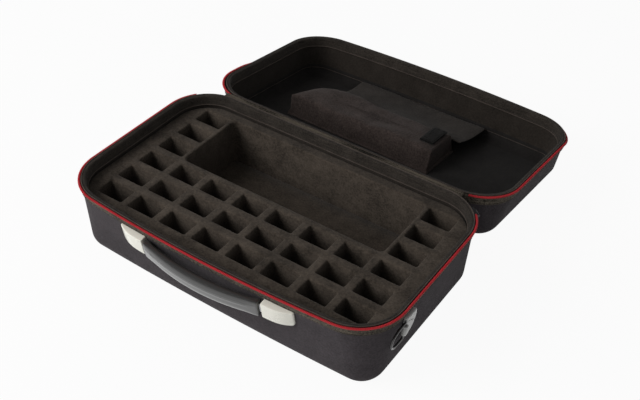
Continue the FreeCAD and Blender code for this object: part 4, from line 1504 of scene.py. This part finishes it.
@dataclass
class Handle:
    """The bowed grip on its spring strip and the two end caps.

    The caps' thicknesses are pairs of a share of their length and a thickness.
    """

    finishes: Finishes
    height: float = 0.0672
    half: float = 0.0685
    end_out: float = 0.0040
    mid_out: float = 0.0122
    end_thick: float = 0.0080
    mid_thick: float = 0.011
    tall: float = 0.0206
    ridges: Pair = (0.0052, 0.0034)
    ridge_height: float = 0.00045
    ridge_width: float = 0.0004
    tip_run: float = 0.012
    tip_size: Pair = (0.93, 0.07)
    square_run: float = 0.22
    face_power: Pair = (0.78, 0.4)
    top_power: Pair = (0.6, 0.3)
    cap_length: float = 0.0322
    cap_high: float = 0.0204
    cap_thick: tuple[Pair, ...] = (
        (0.0, 0.0072), (0.25, 0.0073), (0.5, 0.0069), (0.75, 0.0052), (0.92, 0.0030),
        (1.0, 0.0018),
    )
    cap_gap: float = 0.0003
    cap_taper: Pair = (0.0004, 0.0024)
    cap_ends: Pair = (0.0007, 0.0008)
    cap_corners: Pair = (0.0013, 0.0025)
    cap_edges: Pair = (0.0009, 0.0004)
    travel: float = 0.003
    wall_radius: float = 2.002

    def place(self) -> Matrix:
        """From the handle's frame to the case: x along it, y into the case, z up the wall."""
        plan = BASE.plan
        front = min(y for _, y in plan.outline(self.height / BASE.rim, BASE.outer, 4))
        tilt = math.atan2(plan.rim_bow - plan.floor_bow + plan.draft, BASE.rim)
        return Matrix.Translation(Vector((0, front, self.height))) @ Matrix.Rotation(tilt, 4, "X")

    def wall(self, x: float) -> float:
        """How far the bowed wall falls back at x."""
        return x * x / (2 * self.wall_radius)

    def grip_section(self, share: float) -> Loop:
        """The grip's outline at a share of its half length, from -1 to 1."""
        count = 84
        bow = 1 - share * share
        out = self.end_out + (self.mid_out - self.end_out) * bow
        thick = self.end_thick + (self.mid_thick - self.end_thick) * bow
        fade = min(1.0, (1 - abs(share)) / self.tip_run)
        shrink = self.tip_size[0] + self.tip_size[1] * math.sqrt(max(0.0, 1 - (1 - fade) ** 2))
        square = 1 - Bench.ease((1 - abs(share)) / self.square_run)
        face_power = self.face_power[0] - self.face_power[1] * square
        top_power = self.top_power[0] - self.top_power[1] * square
        loop: Loop = []
        for k in range(count):
            turn = 2 * math.pi * k / count
            c, n = math.cos(turn), math.sin(turn)
            y = math.copysign(abs(c) ** face_power, c) * thick / 2
            z = math.copysign(abs(n) ** top_power, n) * self.tall / 2
            if c < 0:
                for ridge in self.ridges:
                    y -= self.ridge_height * math.exp(-(((z - ridge) / self.ridge_width) ** 2))
            loop.append(Vector((share * self.half, -out + y * shrink, z * shrink)))
        return loop

    def grip(self) -> bpy.types.Object:
        """The grip: a crowned bar, flat on top, with two fine ridges along its outer face."""
        tip = [0.97, 0.988, 0.997, 1]
        shares = [-t for t in tip[::-1]] + [-0.95 + 1.9 * k / 46 for k in range(47)] + tip
        loops = [self.grip_section(share) for share in shares]
        made = Bench.skin("handle_bar", loops, self.finishes.grip, caps=(True, True))
        Bench.shape(made, self.place())
        return settle(made, Body.HANDLE, ["handle_grip"])

    def cap(self, side: int) -> bpy.types.Object:
        """One end cap: a crisp wedge with a bowed face, thick at the grip, thin at its far end."""
        label = "right" if side > 0 else "left"
        inner, long = self.half + self.travel + self.cap_gap, self.cap_length
        places = [0.0, 0.00008, 0.0003, 0.0007]
        places += [0.0007 + (long - 0.0032) * k / 26 for k in range(1, 27)]
        places += [long - t for t in (0.0025, 0.0019, 0.0013, 0.0008, 0.0004, 0.00012, 0.0)]
        loops: list[Loop] = []
        for place in places:
            share, left = place / long, long - place
            near_end, far_end = self.cap_ends
            edge = self.round_off(place, near_end) + self.round_off(left, far_end)
            thick = Bench.along(self.cap_thick, share) - edge
            drop, rise = (
                max(edge, self.round_off(left, radius)) for radius in self.cap_corners
            )
            top = (self.cap_high - self.cap_taper[0] * share) / 2 - drop
            low = -(self.cap_high - self.cap_taper[1] * share) / 2 + rise
            back = self.wall(inner + place) - self.cap_gap
            section = Bench.panel((back - thick, low), (back, top), *self.cap_edges)
            loops.append([Vector((side * (inner + place), y, z)) for y, z in section])
        made = Bench.skin("handle_end_cap_" + label, loops, self.finishes.cap, caps=(True, True))
        Bench.flat_shading(made, 40)
        Bench.shape(made, self.place())
        return settle(made, Body.CASE, ["handle_cap_" + label])

    @staticmethod
    def round_off(gap: float, radius: float) -> float:
        """How far a rounded end falls back at a gap from its tip."""
        return radius - math.sqrt(max(0.0, radius ** 2 - max(0.0, radius - gap) ** 2))

    def build(self) -> None:
        """Make the grip and the caps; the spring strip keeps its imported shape."""
        self.grip()
        for side in (-1, 1):
            self.cap(side)
        dress("handle_core", self.finishes.core)


@dataclass
class StrapRing:
    """A steel D ring in a moulded mount on a side wall.

    Outlines and the groove are pairs of a place along the wall and a height, from the ring's bar.
    """

    side: int
    finishes: Finishes
    height: float = 0.0605
    setback: float = 0.060
    wire: float = 0.00125
    half_bar: float = 0.0115
    corner: float = 0.003
    reach: float = 0.023
    out: float = 0.0033
    shield: tuple[Pair, ...] = (
        (0.0, 0.015), (0.0, -0.003), (0.002, -0.012), (0.007, -0.015), (0.014, -0.010),
        (0.020, -0.003), (0.020, 0.008), (0.018, 0.015),
    )
    middle: Pair = (0.0105, 0.002)
    face: float = 0.0033
    edge: tuple[Pair, ...] = ((0.0003, 0.0), (0.0024, 0.0), (0.0029, 0.0002), (0.0032, 0.0006))
    crown: float = 0.0005
    crown_half: float = 0.012
    corners: Pair = (0.0022, 0.0007)
    face_step: float = 0.0005
    groove_line: tuple[Pair, ...] = ((0.0005, 0.0105), (0.0120, 0.0070), (0.0205, -0.0045))
    groove_depth: float = 0.0009
    groove_width: float = 0.00055
    knuckle_ends: tuple[Pair, ...] = ((0.0065, 0.0022), (0.0063, 0.0026), (0.0059, 0.0028))

    @property
    def label(self) -> str:
        """Left or right."""
        return "right" if self.side > 0 else "left"

    def place(self) -> Matrix:
        """From the ring's frame to the case: x out of the wall, y along it, z up it."""
        half = max(x for x, _ in BASE.plan.outline(self.height / BASE.rim, BASE.outer))
        tilt = self.side * math.atan2(BASE.plan.draft, BASE.rim)
        spot = Matrix.Translation(Vector((self.side * half, -self.setback, self.height)))
        return spot @ Matrix.Rotation(tilt, 4, "Y")

    def wire_line(self) -> Loop:
        """The middle line of the ring's wire, from the foot of its bar."""
        bar, corner, far = self.half_bar, self.corner, self.reach - self.half_bar
        bend = bar - corner
        path = [(0, -bend + 2 * bend * k / 8) for k in range(8)]
        for k in range(8):
            turn = math.pi / 2 * k / 8
            path.append((-corner + corner * math.cos(turn), bend + corner * math.sin(turn)))
        path += [(-corner - (far - corner) * k / 4, bar) for k in range(4)]
        for k in range(25):
            turn = math.pi / 2 + math.pi * k / 24
            path.append((-far + bar * math.cos(turn), bar * math.sin(turn)))
        path += [(-far + (far - corner) * k / 4, -bar) for k in range(1, 5)]
        for k in range(1, 8):
            turn = math.pi / 2 * k / 8
            path.append((-corner + corner * math.sin(turn), -bend - corner * math.cos(turn)))
        return [Vector((self.side * self.out, y, z)) for y, z in path]

    def ring(self) -> bpy.types.Object:
        """The ring: one bent wire."""
        name = "d_ring_" + self.label
        made = Bench.sweep(name, self.wire_line(), self.wire, self.finishes.ring, 14, ring=True)
        Bench.shape(made, self.place())
        body = Body("ring_" + self.label)
        return settle(made, body, ["strap_ring_" + self.label])

    def plate(self) -> bpy.types.Object:
        """The shield-shaped plate: a rounded edge, a crowned face and a curved groove."""
        outline = Bench.rounded(self.shield, *self.corners)
        loops = [self.shrunk(outline, inset, out) for out, inset in self.edge]
        last_inset = self.edge[-1][1]
        for k in range(1, 19):
            loops.append(self.shrunk(outline, last_inset + self.face_step * k, self.face))
        groove = self.groove()
        for loop in loops[3:]:
            for point in loop:
                near = min((Vector((point.y, point.z)) - spot).length for spot in groove)
                aside = (point.y - self.middle[0]) / self.crown_half
                crown = self.crown * (1 - aside ** 2)
                cut = self.groove_depth * math.exp(-((near / self.groove_width) ** 2))
                point.x += self.side * (crown - cut)
        return Bench.skin("plate", loops, self.finishes.mount, caps=(True, True))

    def knuckle(self) -> bpy.types.Object:
        """The barrel that the ring's bar turns in."""
        ends = self.knuckle_ends
        turns = [2 * math.pi * k / 28 for k in range(28)]
        loops: list[Loop] = []
        for z, r in [(-z, r) for z, r in ends] + list(reversed(ends)):
            loops.append([
                Vector((self.side * self.out + r * math.cos(t), r * math.sin(t), z)) for t in turns
            ])
        return Bench.skin("knuckle", loops, self.finishes.mount, caps=(True, True))

    def mount(self) -> bpy.types.Object:
        """The mount: the plate and the knuckle, moulded in one."""
        name = "ring_mount_moulding_" + self.label
        made = Bench.join(name, [self.plate(), self.knuckle()])
        Bench.flat_shading(made, 50)
        Bench.shape(made, self.place())
        return settle(made, Body.CASE, ["ring_mount_" + self.label])

    def shrunk(self, outline: Sequence[Pair], inset: float, out: float) -> Loop:
        """An outline drawn in towards the plate's middle, at a distance out of the wall."""
        loop: Loop = []
        for y, z in outline:
            spoke = Vector((self.middle[0] - y, self.middle[1] - z))
            share = min(0.97, inset / max(spoke.length * 0.75, 1e-6))
            loop.append(Vector((self.side * out, y + spoke.x * share, z + spoke.y * share)))
        return loop

    def groove(self) -> list[Vector]:
        """Points of the groove across the plate."""
        start, bend, end = (Vector(point) for point in self.groove_line)
        return [Bench.curve(start, bend, end, k / 40) for k in range(41)]

    def build(self) -> None:
        """Make the mount and the ring."""
        self.mount()
        self.ring()


@dataclass
class Slider:
    """A parked zipper slider with its pull tab, on a back corner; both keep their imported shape."""

    side: int
    finishes: Finishes

    def build(self) -> None:
        """Give the slider and its tab their enamel."""
        label = "right" if self.side > 0 else "left"
        for name in ("zip_slider_", "zip_pull_"):
            dress(name + label, self.finishes.slider)


@dataclass
class Pouch:
    """The soft pouch in the lid, its open flap and its strip of hooks.

    The bag's outlines have four corners, from the right end of the side that faces the hinge. Its
    crown is a table of how far its loops have closed in and how high they have risen.
    """

    finishes: Finishes
    height: float = 0.030
    rest: float = 0.1417
    seed: int = 7
    foot: tuple[Pair, ...] = ((0.0690, 0.028), (-0.131, 0.0225), (-0.131, -0.041), (0.069, -0.041))
    brim: tuple[Pair, ...] = (
        (0.0688, 0.022), (-0.131, 0.022), (-0.060, -0.034), (0.0675, -0.032),
    )
    walls: tuple[float, ...] = (
        0.0, 0.05, 0.12, 0.2, 0.28, 0.36, 0.44, 0.52, 0.6, 0.68, 0.76, 0.83, 0.88,
    )
    crown: tuple[Pair, ...] = (
        (0.012, 0.93), (0.03, 0.965), (0.07, 0.99), (0.13, 1.005), (0.2, 1.015), (0.3, 1.025),
        (0.42, 1.03), (0.56, 1.035), (0.72, 1.04), (0.93, 1.04),
    )
    spine: tuple[Pair, ...] = ((-0.085, -0.004), (0.050, -0.004))
    cut: tuple[tuple[float, float, float], ...] = (
        (0.0, -0.131, 0.022), (0.35, -0.118, -0.014), (0.56, -0.105, -0.026),
        (0.78, -0.084, -0.033), (1.0, -0.060, -0.034),
    )
    most_swell: float = 0.003
    rises: tuple[float, float, float] = (0.0028, 0.0009, 0.0003)
    shifts: Pair = (0.0014, 0.0006)
    peak: tuple[float, float, float] = (0.0028, -0.098, 0.026)
    flap_box: Box = (-0.099, -0.1003, 0.081, -0.0345)
    flap_thick: float = 0.0022
    flap_drop: float = 0.020
    flap_climb: float = 0.0085
    flap_bow: float = 0.0035
    flap_cuts: Pair = (0.002, 0.004)
    flap_waves: Pair = (0.0009, 0.0007)
    hook_box: Box = (0.045, -0.027, 0.062, 0.009)
    hook_sag: float = 0.0012
    hook_faces: Pair = (0.0006, 0.0018)
    bristle: float = 0.0005
    selvage: float = -0.0002

    def levels(self) -> list[Loop]:
        """Loops of the bag from its foot, up its sides and in over its crowned top."""
        foot, brim = self.outline(self.foot), self.outline(self.brim)
        loops: list[Loop] = []
        for share in self.walls:
            z = self.rest - self.height * share
            loops.append([
                Vector((a.x, a.y, z)).lerp(Vector((b.x, b.y, z)), share)
                for a, b in zip(foot, brim)
            ])
        left, right = (Vector(end) for end in self.spine)
        for share, rise in self.crown:
            loop: Loop = []
            for point in brim:
                reach = min(1.0, max(0.0, (point.x - left.x) / (right.x - left.x)))
                spot = Vector((point.x, point.y)).lerp(left.lerp(right, reach), share)
                loop.append(Vector((spot.x, spot.y, self.rest - self.height * rise)))
            loops.append(loop)
        return loops

    def outline(self, corners: Sequence[Pair]) -> Loop:
        """Points of a four-sided outline; a short second side is cut off along a curve."""
        short = corners[2][0] > corners[1][0] + 0.01
        points: Loop = []
        for side, count in enumerate((80, 56, 80, 40)):
            a, b = corners[side], corners[(side + 1) % 4]
            for k in range(count):
                t = k / count
                if side == 1 and short:
                    x = Bench.along([(at, x) for at, x, _ in self.cut], t)
                    y = Bench.along([(at, y) for at, _, y in self.cut], t)
                else:
                    x, y = a[0] + (b[0] - a[0]) * t, a[1] + (b[1] - a[1]) * t
                points.append(Vector((x, y, 0.0)))
        return points

    def bag(self) -> bpy.types.Object:
        """The padded bag, with crisp ends, that swells and sinks between its seams."""
        made = Bench.skin("pouch_bag", self.levels(), self.finishes.pouch, caps=(True, True))
        self.swell(made)
        high, at, wide = self.peak
        for vert in made.data.vertices:
            co = vert.co
            sag = noise.noise(Vector((co.x * 26, co.y * 30, co.z * 22 + self.seed)))
            crease = noise.noise(Vector((co.x * 75 + 3, co.y * 62, co.z * 62)))
            fine = noise.noise(Vector((co.x * 190, co.y * 170, co.z * 170)))
            top = min(1.0, max(0.0, (self.rest - co.z) / self.height))
            peak = high * math.exp(-(((co.x - at) / wide) ** 2))
            sunk, creased, wrinkled = self.rises
            co.z += (sunk * sag + creased * crease + wrinkled * fine - peak) * top
            co.y += (self.shifts[0] * sag + self.shifts[1] * crease) * top
            co.z = min(co.z, self.rest - 0.0001)
        made.data.polygons.foreach_set("use_smooth", [True] * len(made.data.polygons))
        return settle(made, Body.LID, ["pouch_body"], True)

    @staticmethod
    def bake(made: bpy.types.Object) -> None:
        """Turn a piece's modifiers into its mesh."""
        graph = bpy.context.evaluated_depsgraph_get()
        fresh = bpy.data.meshes.new_from_object(made.evaluated_get(graph))
        made.modifiers.clear()
        old = made.data
        made.data = fresh
        bpy.data.meshes.remove(old)

    def swell(self, made: bpy.types.Object) -> None:
        """Blow the bag up as cloth, held to a few millimetres and sewn down at its foot."""
        start = [v.co.copy() for v in made.data.vertices]
        foot = made.vertex_groups.new(name="foot")
        foot.add([k for k, co in enumerate(start) if co.z > self.rest - 0.003], 1.0, "REPLACE")
        cloth = made.modifiers.new("cloth", "CLOTH")
        cloth.settings.quality = 6
        cloth.settings.vertex_group_mass = "foot"
        cloth.settings.use_pressure = True
        cloth.settings.uniform_pressure_force = 4.0
        cloth.settings.tension_stiffness = 18.0
        cloth.settings.bending_stiffness = 2.5
        cloth.settings.effector_weights.gravity = 0.0
        scene = bpy.context.scene
        for number in range(1, 21):
            scene.frame_set(number)
        self.bake(made)
        scene.frame_set(1)
        for vert, old in zip(made.data.vertices, start):
            move = vert.co - old
            if move.length > self.most_swell:
                vert.co = old + move * (self.most_swell / move.length)

    @staticmethod
    def sheet(
        name: str,
        size: tuple[int, int],
        faces_at: Callable[[int, int], tuple[Vector, Vector]],
        material: bpy.types.Material,
    ) -> bpy.types.Object:
        """A thin closed sheet on a grid.

        Args:
            name: The piece's name.
            size: Its numbers of rows and columns.
            faces_at: The points of its two faces at a row and a column.
            material: Its finish.

        Returns:
            The new object.
        """
        rows, columns = size
        grid = [[faces_at(r, c) for c in range(columns + 1)] for r in range(rows + 1)]
        top, low = ([[pair[face] for pair in row] for row in grid] for face in (0, 1))
        return Bench.skin(name, top + low[::-1], material, ring=False, tube=True)

    def flap(self) -> bpy.types.Object:
        """The open flap: a thin padded panel from the bag's back edge to the lid's far wall."""
        left, far_y, right, near_y = self.flap_box
        rows, columns = 26, 70
        end_cut, near_cut = self.flap_cuts
        rough_wave, long_wave = self.flap_waves

        def faces_at(r: int, c: int) -> tuple[Vector, Vector]:
            """The flap's two faces at a row and a column."""
            t, s = r / rows, c / columns
            y = near_y + (far_y - near_y) * t
            z = self.rest - self.flap_drop + self.flap_climb * t
            z += self.flap_bow * math.sin(math.pi * t)
            cut = end_cut * max(0.0, (t - 0.9) / 0.1) ** 2 + near_cut * (1 - t)
            x = left + cut + (right - left - 2 * cut) * s
            rough = noise.noise(Vector((x * 30, y * 30, 5.0)))
            wave = rough_wave * rough + long_wave * math.sin(9 * s + 3 * t)
            edge = min(1.0, min(s, 1 - s) * 60, min(t, 1 - t) * 22 + 0.2)
            puff = self.flap_thick / 2 * (0.45 + 0.55 * edge)
            return Vector((x, y, z + wave - puff)), Vector((x, y, z + wave + puff))

        made = self.sheet("pouch_flap_panel", (rows, columns), faces_at, self.finishes.flap)
        return settle(made, Body.LID, ["pouch_flap"], True)

    def hooks(self) -> bpy.types.Object:
        """The strip of hooks on the bag's top: a bristly tape with sewn edges."""
        left, front, right, back = self.hook_box
        rows, columns = 40, 20
        rest, (above, below) = self.rest - self.height, self.hook_faces

        def faces_at(r: int, c: int) -> tuple[Vector, Vector]:
            """The strip's two faces at a row and a column."""
            x, y = left + (right - left) * c / columns, front + (back - front) * r / rows
            inside = 1 < r < rows - 1 and 1 < c < columns - 1
            bristle = self.bristle * ((r + c) % 2) if inside else self.selvage
            sag = self.hook_sag * math.cos((y + 0.011) / 0.03 * math.pi / 2)
            return Vector((x, y, rest - above - bristle - sag)), Vector((x, y, rest + below - sag))

        made = self.sheet("pouch_hooks", (rows, columns), faces_at, self.finishes.hooks)
        return settle(made, Body.LID, ["pouch_hook_strip"], True)

    def build(self) -> None:
        """Make the bag, its flap and its hooks."""
        self.bag()
        self.flap()
        self.hooks()


# --- Studio ------------------------------------------------------------------------------------


@dataclass
class Studio:
    """Floor, lights, sky and camera.

    The steps are pairs of heights, or of places across the room, between which the sky changes.
    """

    lens: float = 56.17
    sensor: float = 36.0
    eye: tuple[float, float, float] = (0.4592, -0.6291, 0.7281)
    target: tuple[float, float, float] = (0.059665, -0.01055, 0.11714)
    roll: float = 2.22
    floor_half: float = 6.0
    glow: float = 0.94
    low_light: float = 0.62
    top_light: float = 0.22
    light_step: Pair = (0.2, 0.8)
    right_dim: float = 0.45
    right_step: Pair = (-0.1, 0.6)
    above_floor_step: Pair = (0.05, 0.25)
    gloss_dim: float = 0.82
    gloss_step: Pair = (0.08, 0.42)
    key: float = 31.0
    key_size: float = 1.2
    key_place: tuple[float, float, float] = (-1.16, -1.38, 1.26)
    key_aim: tuple[float, float, float] = (0, 0, 0.05)

    def camera(self) -> None:
        """The camera."""
        data = bpy.data.cameras.new("view")
        data.lens, data.sensor_width = self.lens, self.sensor
        camera = bpy.data.objects.new("view", data)
        bpy.context.scene.collection.objects.link(camera)
        eye = Vector(self.eye)
        back = (eye - Vector(self.target)).normalized()
        right = Vector((0, 0, 1)).cross(back).normalized()
        up = back.cross(right)
        c, s = math.cos(math.radians(self.roll)), math.sin(math.radians(self.roll))
        right, up = c * right + s * up, c * up - s * right
        turn = Matrix((right, up, back)).transposed().to_4x4()
        camera.matrix_world = Matrix.Translation(eye) @ turn
        bpy.context.scene.camera = camera

    @staticmethod
    def mirrored(recipe: Recipe) -> Signal:
        """1 for rays that a gloss or a clear body sends on."""
        path = recipe.node("ShaderNodeLightPath").outputs
        glossy = Signal(recipe, path["Is Glossy Ray"])
        return glossy.most(Signal(recipe, path["Is Transmission Ray"]))

    @staticmethod
    def seen(recipe: Recipe) -> Signal:
        """1 for rays that come straight from the camera."""
        return Signal(recipe, recipe.node("ShaderNodeLightPath").outputs["Is Camera Ray"])

    def floor(self) -> None:
        """The white floor, which keeps the case's shadow."""
        size = self.floor_half
        corners = ((-size, -size), (size, -size), (size, size), (-size, size))
        recipe = Recipe("white_floor")
        grain = recipe.cloud(4.0, 2.0)
        paper = recipe.node(
            "ShaderNodeBsdfPrincipled",
            None,
            {
                "Base Color": recipe.blend(grain, (0.86, 0.86, 0.86), (0.88, 0.88, 0.88)),
                "Roughness": 0.9,
                "Specular IOR Level": 0.1,
            },
        )
        glow = recipe.node("ShaderNodeEmission", None, {"Color": (1, 1, 1, 1), "Strength": 1.0})
        backdrop = self.seen(recipe).most(self.mirrored(recipe))
        mixed = recipe.node(
            "ShaderNodeMixShader",
            None,
            {0: backdrop * self.glow, 1: paper.outputs[0], 2: glow.outputs[0]},
        )
        recipe.node("ShaderNodeOutputMaterial", None, {"Surface": mixed.outputs[0]})
        verts = [Vector((x, y, 0.0)) for x, y in corners]
        floor = Bench.piece("studio_floor", verts, [[0, 1, 2, 3]], recipe.material)

    def sky(self) -> None:
        """A white room: bright low down, dim overhead, and white where it shows itself."""
        world = bpy.data.worlds.new("studio")
        world.use_nodes = True
        bpy.context.scene.world = world
        recipe = Recipe.on(world.node_tree)
        seen, mirrored = self.seen(recipe), self.mirrored(recipe)
        across, _, height = recipe.axes("Generated")
        overhead = height.spread(*self.light_step)
        dim_gloss = height.spread(*self.gloss_step)
        soft = self.low_light + (self.top_light - self.low_light) * overhead
        dim_right = self.right_dim * across.spread(*self.right_step)
        soft = soft * (1 - dim_right * height.spread(*self.above_floor_step))
        indirect = mirrored * (1.0 - self.gloss_dim * dim_gloss) + (1 - mirrored) * soft
        strength = seen + (1 - seen) * indirect
        light = recipe.node(
            "ShaderNodeBackground", None, {"Color": (1, 1, 1, 1), "Strength": strength}
        )
        recipe.node("ShaderNodeOutputWorld", None, {"Surface": light.outputs[0]})

    def lamp(self) -> None:
        """The key light: a soft square lamp."""
        data = bpy.data.lights.new("key", "AREA")
        data.shape, data.size, data.energy = "SQUARE", self.key_size, self.key
        lamp = bpy.data.objects.new("key", data)
        lamp.visible_glossy = False
        bpy.context.scene.collection.objects.link(lamp)
        place = Vector(self.key_place)
        turn = (place - Vector(self.key_aim)).normalized().to_track_quat("Z", "Y")
        lamp.matrix_world = Matrix.Translation(place) @ turn.to_matrix().to_4x4()

    def build(self) -> None:
        """Set the stage."""
        self.camera()
        self.floor()
        self.sky()
        self.lamp()
        bpy.context.scene.view_settings.view_transform = "Standard"


def main() -> None:
    """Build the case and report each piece."""
    logging.basicConfig(level=logging.INFO, format="%(name)s: %(message)s")
    finishes = Finishes()
    Studio().build()
    Shell("base", BASE, Body.CASE, 0.010, finishes).build()
    Shell("lid", LID, Body.LID, 0.034, finishes).build()
    FoamInsert(finishes).build()
    Hinge(finishes).build()
    Handle(finishes).build()
    for side in (-1, 1):
        StrapRing(side, finishes).build()
        Slider(side, finishes).build()
    Pouch(finishes).build()


if __name__ == "__main__":
    main()
